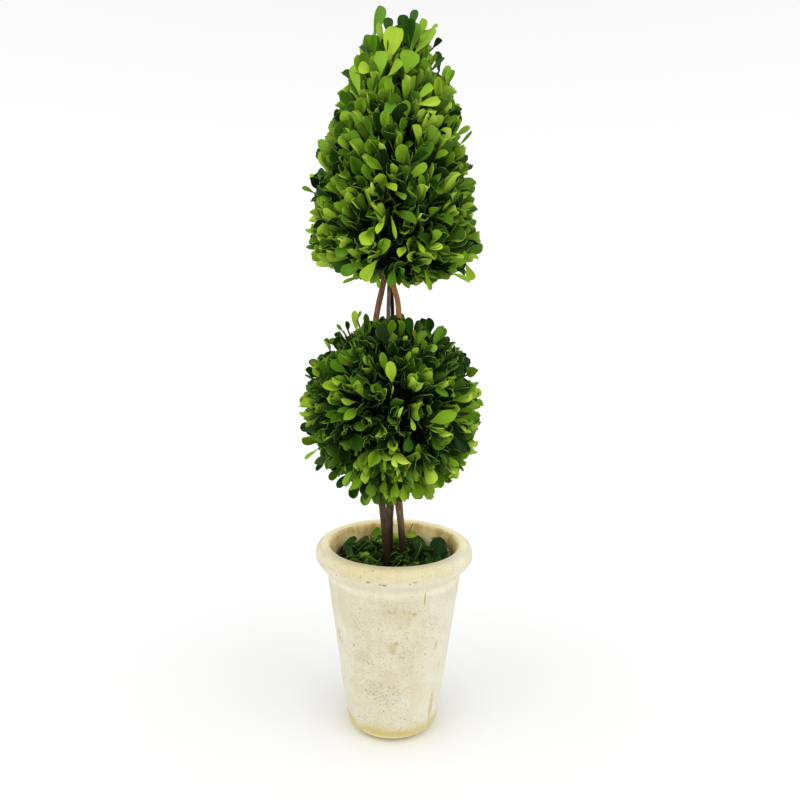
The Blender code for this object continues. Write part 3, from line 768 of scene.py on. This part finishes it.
def leaves_mesh(name, leaves):
    """One mesh of many leaves, each a closed thin solid."""
    faces, slots = leaf_faces()
    corners = leaf_corners(leaves)
    count, each = len(leaves), corners.shape[1]
    shifted = (faces[None] + (np.arange(count) * each)[:, None, None]).reshape(-1, 4)
    mesh = bpy.data.meshes.new(name)
    mesh.vertices.add(count * each)
    mesh.vertices.foreach_set("co", corners.reshape(-1).astype(np.float32))
    mesh.loops.add(shifted.size)
    mesh.loops.foreach_set("vertex_index", shifted.reshape(-1).astype(np.int32))
    mesh.polygons.add(len(shifted))
    mesh.polygons.foreach_set("loop_start", np.arange(0, shifted.size, 4, dtype=np.int32))
    mesh.polygons.foreach_set("material_index", np.tile(slots, count).astype(np.int32))
    mesh.update(calc_edges=True)
    across, along = np.meshgrid(LEAF_COLUMNS / 2 + 0.5, LEAF_ROWS)
    flat = np.stack([across.reshape(-1), along.reshape(-1)], axis=-1)
    flat = np.concatenate([flat, flat])[faces.reshape(-1)]
    layer = mesh.uv_layers.new(name="leaf")
    layer.data.foreach_set("uv", np.tile(flat.reshape(-1), count).astype(np.float32))
    return mesh


def add_tube(corners, faces, path, radii, sides=TWIG_SIDES):
    """Adds a closed tube along a path of points to lists of corners and faces."""
    first = len(corners)
    turn_from = Vector((0.3, 0.5, 0.8))
    for i, (centre, radius) in enumerate(zip(path, radii)):
        ahead = path[min(i + 1, len(path) - 1)] - path[max(i - 1, 0)]
        axes = axes_along(ahead, turn_from)
        turn_from = axes.col[2].copy()
        corners += [centre + axes @ Vector((0, radius * c, radius * s)) for c, s in circle(sides)]
    last = len(corners) - sides
    for low in range(first, last, sides):
        faces += band_faces(low, low + sides, sides)
    faces.append(tuple(range(first + sides - 1, first - 1, -1)))
    faces.append(tuple(range(last, last + sides)))


# Stems, along the middle lines of the CAD stems
def stem_line(node):
    """A stem's middle line and radii, read from the level rings of its CAD mesh."""
    levels = {}
    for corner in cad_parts[node].data.vertices:
        levels.setdefault(round(corner.co.z, 5), set()).add(tuple(round(c, 6) for c in corner.co))
    line = []
    for height in sorted(levels):
        ring = [Vector(point) for point in levels[height]]
        centre = sum(ring, Vector()) / len(ring)
        line.append((centre, sum((point - centre).length for point in ring) / len(ring)))
    return line


STEM_LINES = {node: stem_line(node) for node in STEM_SLOTS}


def smooth_point(points, t):
    """A point on a smooth curve through the points, for t from 0 to their count less one."""
    k = min(int(t), len(points) - 2)
    a, b, c, d = [points[max(0, min(len(points) - 1, k + n))] for n in (-1, 0, 1, 2)]
    s = t - k
    square, cube = 2 * a - 5 * b + 4 * c - d, 3 * b - a - 3 * c + d
    return 0.5 * (2 * b + (c - a) * s + square * s**2 + cube * s**3)


def near_stem(point, margin):
    """True if a point lies within the margin of a stem's bark."""
    for line in STEM_LINES.values():
        low, high = line[0][0].z, line[-1][0].z
        if not low - margin < point.z < high + margin:
            continue
        share = (point.z - low) / (high - low) * (len(line) - 1)
        k = max(0, min(len(line) - 2, int(share)))
        centre = line[k][0].lerp(line[k + 1][0], max(0, min(1, share - k)))
        if math.hypot(point.x - centre.x, point.y - centre.y) < line[k][1] + margin:
            return True
    return False


# Places in the photograph
def picture_point(pixel, depth):
    """The point at a depth along Y that shows at a pixel of the photograph."""
    across, down = [(value - IMAGE_SIDE / 2) / FOCAL_PIXELS for value in pixel]
    way = CAMERA_TURN @ Vector((across, -down, -1))
    return CAMERA_PLACE + way * ((depth - CAMERA_PLACE.y) / way.y)


def picture_pixel(point):
    """The pixel at which a point shows, and its distance from the camera."""
    across, up, back = CAMERA_TURN.transposed() @ (point - CAMERA_PLACE)
    return Vector((across, -up)) / -back * FOCAL_PIXELS + Vector((1, 1)) * IMAGE_SIDE / 2, -back


def first_inside(pixel, inside, furthest):
    """The nearest point at a pixel that is inside a shape, or else the one at the furthest depth in mm."""
    for depth in range(NEAREST_DEPTH, furthest + 1):
        point = picture_point(pixel, depth * MM)
        if inside(point):
            break
    return point


# Sprigs
class Foliage:
    """Collects the leaves and twigs of one mass, which stands for a CAD node."""

    def __init__(self, name, node, slot, room, palettes, seed, clear=CLEAR_PIXELS):
        self.name = name
        self.node = node
        self.slot = slot
        self.room = room
        self.palettes = palettes
        self.draw = random.Random(seed)
        self.clear = clear
        self.leaves = []
        self.seen = []
        self.twigs = ([], [])

    def any_tint(self, share=0.0):
        """A tint drawn at a share of the mass's height."""
        levels = np.linspace(0, 1, len(self.palettes))
        weights = [float(np.interp(share, levels, column)) for column in zip(*self.palettes)]
        return self.draw.choices(TINT_NAMES, weights=weights)[0]

    def add_leaf(self, root, along, upper, length, tint):
        """Adds a leaf if it stays in its room, made shorter if that helps."""
        for size in (1.0, 0.8, 0.62):
            reach = along * length * size
            if self.hides_seen(root + reach) or self.hides_seen(root + reach * 0.5):
                continue
            if self.room(root + reach) and self.room(root + reach * 0.6):
                self.leaves.append(Leaf(root, along, upper, length * size, tint, self.draw))
                return

    def add_seen(self, rows, share_of, root_share, middle_of, furthest=0):
        """Adds the leaves that show clearly, each on a short twig from the middle of the mass.

        Their roots and tips are where the picture's rays first come within their shares of the mass.
        """
        for root_x, root_y, tip_x, tip_y, width, tint in rows:
            root = first_inside((root_x, root_y), lambda point: share_of(point) < root_share, furthest)
            tip = first_inside((tip_x, tip_y), lambda point: share_of(point) < SEEN_TIP, furthest)
            depth = root.y + max(-SEEN_SLANT, min(SEEN_SLANT, tip.y - root.y))
            tip = picture_point((tip_x, tip_y), depth)
            upper = jittered(Vector((0, -1, 0.4)), 0.2, self.draw)
            leaf = Leaf(root, tip - root, upper, (tip - root).length, TINT_NAMES[tint], self.draw)
            leaf.width = width * (root - CAMERA_PLACE).length / FOCAL_PIXELS
            leaf.twist *= 0.4
            leaf.bend *= 0.6
            self.leaves.append(leaf)
            self.seen += [picture_pixel(root.lerp(tip, share)) for share in (0.45, 0.95)]
            inward = (middle_of(root) - root).normalized() * SEEN_TWIG
            add_tube(*self.twigs, [root + inward, root], [TWIG_RADIUS] * 2)

    def hides_seen(self, point):
        """True if a leaf that reaches a point would stand before one that shows clearly."""
        pixel, away = picture_pixel(point)
        return any(away < behind + CLEAR_DEPTH and (pixel - place).length < self.clear
                   for place, behind in self.seen)

    def add_sprig(self, site, direction, reach, openings, share, pairs=4, size=1.0):
        """A twig out of the core with opposite pairs of leaves, each turned a quarter from the next.

        The inner pairs take darker tints, as painted shade deep in the mass. The openings are the
        pairs' angles from the twig, and the share is the sprig's place in the mass's height.
        """
        draw = self.draw
        tint = self.any_tint(share)
        spin = draw.uniform(0, math.pi)
        start = site - direction * 5 * MM
        end = site + direction * (reach - LEAF_PAST_TWIG * LEAF_LENGTH * size)
        aside = direction.orthogonal().normalized()
        bow = aside.copy()
        bow.rotate(Matrix.Rotation(draw.uniform(0, 2 * math.pi), 3, direction))
        steps = (0, 0.35, 0.7, 1)
        path = [start.lerp(end, t) + bow * (TWIG_BOW * math.sin(math.pi * t)) for t in steps]
        add_tube(*self.twigs, path, [TWIG_RADIUS * (1 - 0.35 * t) for t in steps])
        back = 0.0
        for k in range(pairs):
            root = end - direction * back
            for way in (0, math.pi):
                side = aside.copy()
                turn = spin + k * math.pi / 2 + way + draw.gauss(0, 0.16)
                side.rotate(Matrix.Rotation(turn, 3, direction))
                angle = math.radians(openings[k]) + draw.gauss(0, 0.10)
                along = (direction * math.cos(angle) + side * math.sin(angle)).normalized()
                own = tint if draw.random() < 0.55 else self.any_tint(share)
                # Painted shade: each inner pair's tint is stepped darker.
                own = TINT_NAMES[max(0, TINT_NAMES.index(own) - PAIR_PAINTED_SHADE[k])]
                length = LEAF_LENGTH * size * PAIR_LENGTHS[k] * draw.uniform(0.82, 1.18)
                self.add_leaf(root, along, jittered(direction, 0.30, draw), length, own)
            back += draw.uniform(*PAIR_GAP) * MM

    def add_pieces(self, leaf_looks, twig_look):
        """Adds the leaves as one piece for each tint, and the twigs as another."""
        for tint, looks in leaf_looks.items():
            chosen = [leaf for leaf in self.leaves if leaf.tint == tint]
            if chosen:
                mesh = leaves_mesh(self.name + "_leaves_" + tint, chosen)
                add_piece(mesh, looks, self.node, LEAF_SHARP)
        add_piece(mesh_of(self.name + "_twigs", *self.twigs), [twig_look], self.node)

    def add_core(self, mesh, look):
        """Adds the foam core, with its surface dented in and out."""
        for corner in mesh.vertices:
            corner.co += corner.co.normalized() * noise.noise(corner.co * 90) * CORE_DENTS
        add_piece(mesh, [look], self.node)


# The ball
def in_ball(point):
    away = point - BALL_CENTRE
    spread = sum((away[i] / (BALL_OUTLINE[i] + TIP_ROOM)) ** 2 for i in range(3))
    return spread < 1 and point.x > LEAVES_LEFT and not near_stem(point, STEM_GAP)


def ball_share(point):
    """How far out a point lies, with the leaves' outline as 1."""
    away = point - BALL_CENTRE
    return math.sqrt(sum((away[i] / BALL_OUTLINE[i]) ** 2 for i in range(3)))


def build_ball(leaf_looks, twig_look, foam_look):
    foliage = Foliage("ball", "ball_foliage", "ball_leaves", in_ball, BALL_PALETTES, BALL_SEED)
    foliage.add_seen(BALL_SEEN, ball_share, SEEN_ROOT, lambda root: BALL_CENTRE)
    draw = foliage.draw
    for i in range(BALL_SPRIGS):
        level = 1 - 2 * (i + 0.5) / BALL_SPRIGS
        turn = i * GOLDEN_ANGLE + draw.gauss(0, 0.05)
        outward = at_turn(math.sqrt(1 - level * level), turn, level)
        site = BALL_CENTRE + outward * BALL_CORE
        full = (outward * BALL_OUTLINE).length - (outward * BALL_CORE).length
        reach = full * draw.uniform(0.88, 1.06) * (1.14 if draw.random() < 0.07 else 1.0)
        if any(near_stem(site + outward * out * MM, 1.0 * MM) for out in (0, 8, 14)):
            continue
        direction = jittered(outward, 0.12, draw)
        foliage.add_sprig(site, direction, reach, BALL_OPENINGS, (level + 1) / 2, size=BALL_LEAF_SIZE)
    foliage.add_pieces(leaf_looks, twig_look)
    shape = bmesh.new()
    bmesh.ops.create_icosphere(shape, subdivisions=4, radius=1.0)
    core = mesh_from("ball_core", shape)
    core.transform(Matrix.Diagonal((*BALL_CORE, 1)))
    foliage.add_core(core, foam_look)
    core.transform(Matrix.Translation(BALL_CENTRE))


# The cone
def cone_core_radius(share):
    return CONE_CORE_RADIUS * (1 - share**CONE_CORE_POWER)


def cone_axis_x(height):
    heights, middles, _ = zip(*CONE_OUTLINE)
    return float(np.interp(height / MM, heights, middles)) * MM


def cone_outline_radius(height):
    """The radius to the leaves' tips at a height, straight between the outline's points."""
    heights, _, radii = zip(*CONE_OUTLINE)
    return float(np.interp(height / MM, heights, radii, left=0, right=0)) * MM


def cone_across(point):
    return math.hypot(point.x - cone_axis_x(point.z), point.y)


def cone_share(point):
    """How far out a point lies, with the leaves' outline as 1."""
    return cone_across(point) / max(1 * MM, cone_outline_radius(point.z))


def cone_middle(point):
    """The place in the core that a twig to a point comes from."""
    height = max(point.z - 25 * MM, CONE_CORE_BOTTOM + 25 * MM)
    return Vector((cone_axis_x(height), 0, height))


def hem_height(x, y):
    """The height of the lowest leaves, ragged from one sprig to the next."""
    ragged = 9 * MM * noise.noise(Vector((x * 140, y * 140, 3)))
    return float(np.interp(x / MM, *zip(*HEM_LINE))) * MM + ragged


def in_cone(point):
    inside = cone_across(point) < cone_outline_radius(point.z) + TIP_ROOM and point.x > LEAVES_LEFT
    behind_tip = point.y > 2 * MM and abs(point.x) < 13 * MM
    highest = CONE_SPRIG_TOP + (CONE_BACK_RISE if behind_tip else 0)
    level = hem_height(point.x, point.y) < point.z < highest
    return inside and level and not near_stem(point, STEM_GAP)


def cone_reach(site, direction):
    """How far it is from a site along a direction to the outline."""
    step = 0.5 * MM
    reach = step
    point = site + direction * reach
    while reach < 60 * MM and cone_across(point) <= cone_outline_radius(point.z):
        reach += step
        point = site + direction * reach
    return reach


def cone_even_shares(count):
    """Shares of the core's height that put the same area between one and the next."""
    slices = 400
    height = CONE_CORE_TOP - CONE_CORE_BOTTOM
    radii = [cone_core_radius(i / slices) for i in range(slices + 1)]
    areas = [(a + b) / 2 * math.hypot(a - b, height / slices) for a, b in zip(radii, radii[1:])]
    sums = np.concatenate([[0], np.cumsum(areas)])
    wanted = (np.arange(count) + 0.5) / count * sums[-1]
    return np.interp(wanted, sums, np.linspace(0, 1, slices + 1)).tolist()


def cone_core_point(share, cosine, sine):
    height = CONE_CORE_BOTTOM + share * (CONE_CORE_TOP - CONE_CORE_BOTTOM)
    radius = cone_core_radius(share)
    return Vector((cone_axis_x(height) + radius * cosine, radius * sine, height))


def cone_core_mesh():
    levels, around = 40, 64
    corners = [cone_core_point(i / levels, *way) for i in range(levels) for way in circle(around)]
    top, last = len(corners), len(corners) - around
    corners.append(cone_core_point(1, 0, 0))
    faces = []
    for low in range(0, last, around):
        faces += band_faces(low, low + around, around)
    faces += [(last + k, last + (k + 1) % around, top) for k in range(around)]
    faces.append(tuple(reversed(range(around))))
    return mesh_of("cone_core", corners, faces)


def add_cone_side(foliage):
    """Sprigs over the cone's side, level at the hem and steeper to the tip."""
    draw = foliage.draw
    for i, share in enumerate(cone_even_shares(CONE_SPRIGS)):
        turn = i * GOLDEN_ANGLE + draw.gauss(0, 0.05)
        site = cone_core_point(share, math.cos(turn), math.sin(turn))
        rise = math.radians(80 * share**0.62 - 6)
        direction = jittered(at_turn(math.cos(rise), turn, math.sin(rise)), 0.11, draw)
        reach = max(CONE_REACH[0], min(cone_reach(site, direction), CONE_REACH[1]))
        reach *= draw.uniform(0.91, 1.07)
        reach *= 1.10 if draw.random() < 0.06 else 1.0
        foliage.add_sprig(site, direction, reach, CONE_OPENINGS, share, size=0.95 + 0.18 * share)


def add_cone_hem(foliage):
    """Short sprigs that hang out and down from the core's underside."""
    draw = foliage.draw
    middle = cone_axis_x(CONE_CORE_BOTTOM)
    for i in range(HEM_SPRIGS):
        turn = i * GOLDEN_ANGLE
        radius = CONE_CORE_RADIUS * math.sqrt(0.16 + 0.84 * (i + 0.5) / HEM_SPRIGS)
        site = Vector((middle + radius * math.cos(turn), radius * math.sin(turn), CONE_CORE_BOTTOM))
        slope = 0.35 + 1.2 * (1 - radius / CONE_CORE_RADIUS)
        outward = at_turn(1, turn, -slope).normalized()
        if not near_stem(site + outward * 6 * MM, STEM_GAP):
            direction = jittered(outward, 0.12, draw)
            foliage.add_sprig(site, direction, draw.uniform(*HEM_REACH), CONE_OPENINGS, 0, 2)


def build_cone(leaf_looks, twig_look, foam_look):
    foliage = Foliage("cone", "cone_foliage", "cone_leaves", in_cone, CONE_PALETTES, CONE_SEED)
    foliage.add_seen(CONE_SEEN, cone_share, SEEN_ROOT, cone_middle)
    add_cone_side(foliage)
    add_cone_hem(foliage)
    foliage.add_pieces(leaf_looks, twig_look)
    foliage.add_core(cone_core_mesh(), foam_look)


# The pot, turned in fine rings with throwing lines
def arc(centre, half_sizes, first, last, count):
    """Points on an ellipse from one angle to another, in degrees from the outward radius."""
    (x, y), (wide, high) = centre, half_sizes
    turns = [math.radians(first + (last - first) * i / count) for i in range(count + 1)]
    return [(x + wide * math.cos(turn), y + high * math.sin(turn)) for turn in turns]


def evenly(points, step):
    """A line of points with more put in, so that none is further than a step from the next."""
    made = [points[0]]
    for a, b in zip(points, points[1:]):
        count = max(1, math.ceil(math.dist(a, b) / step))
        shares = [i / count for i in range(1, count + 1)]
        made += [(a[0] + (b[0] - a[0]) * share, a[1] + (b[1] - a[1]) * share) for share in shares]
    return made


def pot_outside():
    rounding = (POT_LOWER_RADIUS - POT_FOOT_RADIUS, POT_FOOT_ROUNDING)
    foot = arc((POT_FOOT_RADIUS, POT_FOOT_ROUNDING), rounding, -90, 0, 10)
    under = arc(RIM_CENTRE, (RIM_HALF_SIZES[0], RIM_DROP), -38, 0, 12)
    rim = arc(RIM_CENTRE, (RIM_HALF_SIZES[0], RIM_RISE), 0, 90, 22)
    cove = [(POT_UPPER_RADIUS + out * MM, POT_SIDE_TOP + up * MM) for out, up in COVE]
    return evenly([(2 * MM, 0), *foot, *cove, *under, *rim[1:]], OUTER_STEP)


def pot_inside():
    crest = RIM_CENTRE[1] + RIM_RISE
    wide, high = POT_INNER_ROUNDING
    corner = (RIM_CENTRE[0] - RIM_HALF_SIZES[0] + wide, crest - high)
    rim = [(RIM_CENTRE[0], crest), *arc(corner, POT_INNER_ROUNDING, 90, 180, 14)]
    slope = (POT_UPPER_RADIUS - POT_LOWER_RADIUS) / (POT_SIDE_TOP - POT_FOOT_ROUNDING)
    low = FILLING_TOP - SKIN_DEPTH
    wall = POT_LOWER_RADIUS + slope * (low - POT_FOOT_ROUNDING) - POT_WALL
    return evenly([*rim, (wall, low)], INNER_STEP)


def pot_relief(x, y, z):
    """How far the clay stands out from its even shape: throwing lines and a slow wobble."""
    turn = Vector((x, y, 0)).normalized()
    lines = noise.noise(Vector((turn.x * 0.9, turn.y * 0.9, z * 420)))
    wobble = noise.noise(Vector((turn.x * 1.3 + 7, turn.y * 1.3, z * 28)))
    fine = noise.noise(Vector((x, y, z)) * 260)
    return (0.11 * lines + 0.26 * wobble + 0.07 * fine) * MM


def build_pot():
    """One turned skin from the foot's middle over the rim to the filling, tan from the crest inward."""
    outside, inside = pot_outside(), pot_inside()
    corners = []
    for radius, height in outside + inside[1:]:
        for cosine, sine in circle(POT_AROUND):
            x, y = radius * cosine, radius * sine
            grow = 1 + pot_relief(x, y, height) / max(radius, 5 * MM) * min(1, height / (3 * MM))
            corners.append((x * grow, y * grow, height))
    faces = []
    for low in range(0, len(corners) - POT_AROUND, POT_AROUND):
        faces += band_faces(low, low + POT_AROUND, POT_AROUND)
    crest = (len(outside) - 1) * POT_AROUND
    slots = [0] * crest + [1] * (len(faces) - crest) + [0] * POT_AROUND
    faces += [((k + 1) % POT_AROUND, k, len(corners)) for k in range(POT_AROUND)]
    corners.append((0, 0, 0))
    mesh = mesh_of("pot_clay", corners, faces)
    mesh.polygons.foreach_set("material_index", slots)
    looks = [Clay("cream_clay", False).material, Clay("tan_clay", True).material]
    add_piece(mesh, looks, "pot")
    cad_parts["filling"].material_slots[0].material = soil_material("filling_ground")


# The stems, with ridges and scars in their bark
def build_stems():
    for number, (node, line) in enumerate(STEM_LINES.items()):
        centres = [centre for centre, _ in line]
        count = round((centres[-1].z - centres[0].z) / STEM_STEP)
        path, sizes = [], []
        for i in range(count + 1):
            t = i / count * (len(line) - 1)
            k = min(int(t), len(line) - 2)
            path.append(smooth_point(centres, t))
            sizes.append(line[k][1] + (line[k + 1][1] - line[k][1]) * (t - k))
        corners, faces = [], []
        add_tube(corners, faces, path, sizes, STEM_SIDES)
        for j, (centre, size) in enumerate(zip(path, sizes)):
            scar = max(0, noise.noise(Vector((number * 5, 0, centre.z * 42))) - 0.25) * 0.5
            for k in range(j * STEM_SIDES, (j + 1) * STEM_SIDES):
                out = (corners[k] - centre).normalized()
                ridges = noise.noise(Vector((out.x * 2.6, out.y * 2.6 + number * 9, centre.z * 45)))
                knots = noise.noise(Vector((out.x + number, out.y, centre.z * 130)))
                corners[k] = centre + out * size * (1.0 + 0.10 * ridges + 0.05 * knots + scar)
        mesh = mesh_of(node + "_bark", corners, faces)
        add_piece(mesh, [bark_material(node)], node, BARK_SHARP)


# The litter
def in_litter(point):
    across = math.hypot(point.x, point.y)
    above = LITTER_GROUND - 2 * MM < point.z < LITTER_HIGHEST
    return across < LITTER_RADIUS and above and not near_stem(point, 0.6 * MM)


def litter_share(point):
    """A point's height over the ground's, and nothing for those too near the pot's back wall."""
    at_wall = point.y > 0 and math.hypot(point.x, point.y) > LITTER_WALL
    return 0 if at_wall else point.z / ground_height(point.x, point.y)


def ground_height(x, y):
    """The ground is bumpy, higher on the left, and heaped against the wall on either side."""
    slow = 2.2 * MM * noise.noise(Vector((x, y, 0)) * 60)
    for heap_x, heap_y, height in LITTER_HEAPS:
        square = (x / MM - heap_x) ** 2 + (y / MM - heap_y) ** 2
        slow += height * MM * math.exp(-square / HEAP_SPREAD)
    fine = 0.9 * MM * noise.noise(Vector((x, y, 0)) * 260)
    return LITTER_GROUND + LITTER_SLOPE * (LITTER_RADIUS - x) + slow + fine


def ground_mesh():
    """A closed bumpy mound of dark crumbs that fills the pot from wall to wall."""
    rings, around = 26, 90
    corners = []
    for j in range(rings):
        radius = LITTER_RADIUS * (j + 1) / rings
        for cosine, sine in circle(around):
            x, y = radius * cosine, radius * sine
            corners.append((x, y, ground_height(x, y)))
    corners += [(x, y, FILLING_TOP + 0.4 * MM) for x, y, _ in corners[-around:]]
    faces = []
    for low in range(0, rings * around, around):
        faces += [(a, d, c, b) for a, b, c, d in band_faces(low, low + around, around)]
    faces.append(tuple(reversed(range(rings * around, len(corners)))))
    faces += [(k, (k + 1) % around, len(corners)) for k in range(around)]
    corners.append((0, 0, ground_height(0, 0)))
    return mesh_of("litter_ground", corners, faces)


def add_litter_leaves(foliage):
    draw = foliage.draw
    for i in range(LITTER_LEAVES):
        turn = i * GOLDEN_ANGLE
        radius = 0.97 * LITTER_RADIUS * math.sqrt((i + 0.5) / LITTER_LEAVES)
        x, y = radius * math.cos(turn), radius * math.sin(turn)
        if LITTER_BARE[0] < x < LITTER_BARE[1] and y < LITTER_BARE[2]:
            continue
        root = Vector((x, y, ground_height(x, y) + draw.uniform(0.2, 4.8) * MM))
        heading, rise = draw.uniform(0, 2 * math.pi), math.radians(draw.gauss(10, 16))
        along = at_turn(1, heading, math.tan(max(-0.2, min(1.1, rise))))
        tint = foliage.any_tint()
        upper = jittered(UP, 0.45, draw)
        foliage.add_leaf(root, along.normalized(), upper, LEAF_LENGTH * draw.uniform(0.62, 1.0), tint)


def add_litter_twigs(foliage):
    """The bare twig that stands up behind the stems, and a few short ones among the leaves."""
    draw = foliage.draw
    standing = [Vector(point) * MM for point in STANDING_TWIG]
    add_tube(*foliage.twigs, standing, [0.55 * MM, 0.5 * MM, 0.4 * MM])
    for _ in range(LITTER_TWIGS):
        turn, radius = draw.uniform(0, 2 * math.pi), 0.8 * LITTER_RADIUS * math.sqrt(draw.random())
        heading = draw.uniform(0, 2 * math.pi)
        middle = at_turn(radius, turn, 0)
        middle.z = ground_height(middle.x, middle.y) + draw.uniform(1, 6) * MM
        half = at_turn(1, heading, draw.uniform(-0.2, 0.3)) * draw.uniform(3, 7) * MM
        if in_litter(middle + half) and in_litter(middle - half):
            path = [middle - half, middle + UP * 0.4 * MM, middle + half]
            add_tube(*foliage.twigs, path, [0.5 * MM] * 3)


def lumps_mesh(draw):
    """Small pale crumbs, most of them near the right side."""
    shape = bmesh.new()
    spans = ((-40, 40), (-30, 40), (0.9, 1.8))
    hidden = [[draw.uniform(*span) for span in spans] for _ in range(HIDDEN_LUMPS)]
    for x, y, size in (*LUMPS, *hidden):
        centre = Vector((x, y, 0)) * MM
        radius = size * MM
        if centre.length > LITTER_RADIUS - radius:
            centre *= (LITTER_RADIUS - radius) / centre.length
        centre.z = ground_height(centre.x, centre.y) + 0.5 * size * MM
        place = Matrix.Translation(centre)
        made = bmesh.ops.create_icosphere(shape, subdivisions=3, radius=radius, matrix=place)
        for corner in made["verts"]:
            away = corner.co - centre
            dents = 0.55 * noise.noise(corner.co * 420) + 0.2 * noise.noise(corner.co * 1100)
            corner.co = centre + away * (1 + dents)
    return mesh_from("litter_lumps", shape)


def build_litter(leaf_looks, twig_look):
    node, slot = "pot_leaves", "loose_leaves"
    foliage = Foliage("litter", node, slot, in_litter, LITTER_PALETTES, LITTER_SEED, LITTER_CLEAR_PIXELS)
    foliage.add_seen(LITTER_SEEN, litter_share, LITTER_SEEN_ROOT, lambda root: root - UP, 50)
    foliage.seen += [picture_pixel(Vector((x, y, LUMP_LEVEL)) * MM) for x, y, _ in LUMPS]
    add_litter_leaves(foliage)
    add_litter_twigs(foliage)
    foliage.add_pieces(leaf_looks, twig_look)
    add_piece(ground_mesh(), [soil_material("litter_soil")], node)
    add_piece(lumps_mesh(foliage.draw), [lump_material()], node)


# Camera, light and floor
def build_camera():
    data = bpy.data.cameras.new("camera")
    data.sensor_width = SENSOR_WIDTH
    data.lens = FOCAL_PIXELS / IMAGE_SIDE * SENSOR_WIDTH
    data.clip_start = 0.01
    camera = link_object("camera", data)
    camera.matrix_world = Matrix.Translation(CAMERA_PLACE) @ CAMERA_TURN.to_4x4()
    bpy.context.scene.camera = camera


def build_world():
    """White at and below the horizon, softer overhead, and stronger on the side that the plant faces."""
    world = bpy.data.worlds.new("studio")
    world.use_nodes = True
    background = world.node_tree.nodes["Background"]
    _, back, up = add_node(world.node_tree, "TexCoord", "Generated", {}).axes()
    whites = (HORIZON_WHITE, PICTURE_TOP_WHITE, OVERHEAD_WHITE)
    stops = [(at, (white / HORIZON_WHITE,) * 3) for at, white in zip((0.0, 0.38, 0.75), whites)]
    feed(background.inputs["Color"], up.ramp(*stops))
    feed(background.inputs["Strength"], back.ranged(-0.1, 0.8, FRONT_GAIN * HORIZON_WHITE, HORIZON_WHITE))
    bpy.context.scene.world = world


def build_light():
    build_world()
    view = bpy.context.scene.view_settings
    view.view_transform = "Standard"
    view.gamma = VIEW_GAMMA
    for name, direction, strength in KEYS:
        data = bpy.data.lights.new(name, "SUN")
        data.energy = strength
        data.angle = KEY_WIDTH
        link_object(name, data).rotation_euler = Vector(direction).to_track_quat("-Z", "Y").to_euler()


def build_floor():
    shape = bmesh.new()
    bmesh.ops.create_circle(shape, cap_ends=True, segments=96, radius=FLOOR_RADIUS)
    mesh = mesh_from("floor", shape)
    white = (FLOOR_WHITE, FLOOR_WHITE, FLOOR_WHITE)
    mesh.materials.append(grainy_material("pale_paper", white, 1.0, (600,), 0.05, 0.1, gloss=0.0))
    floor = link_object("floor", mesh)


build_camera()
build_light()
build_floor()
leaf_looks = leaf_materials()
twig_look = twig_material()
foam_look = foam_material()
build_pot()
build_stems()
build_litter(leaf_looks, twig_look)
build_ball(leaf_looks, twig_look, foam_look)
build_cone(leaf_looks, twig_look, foam_look)
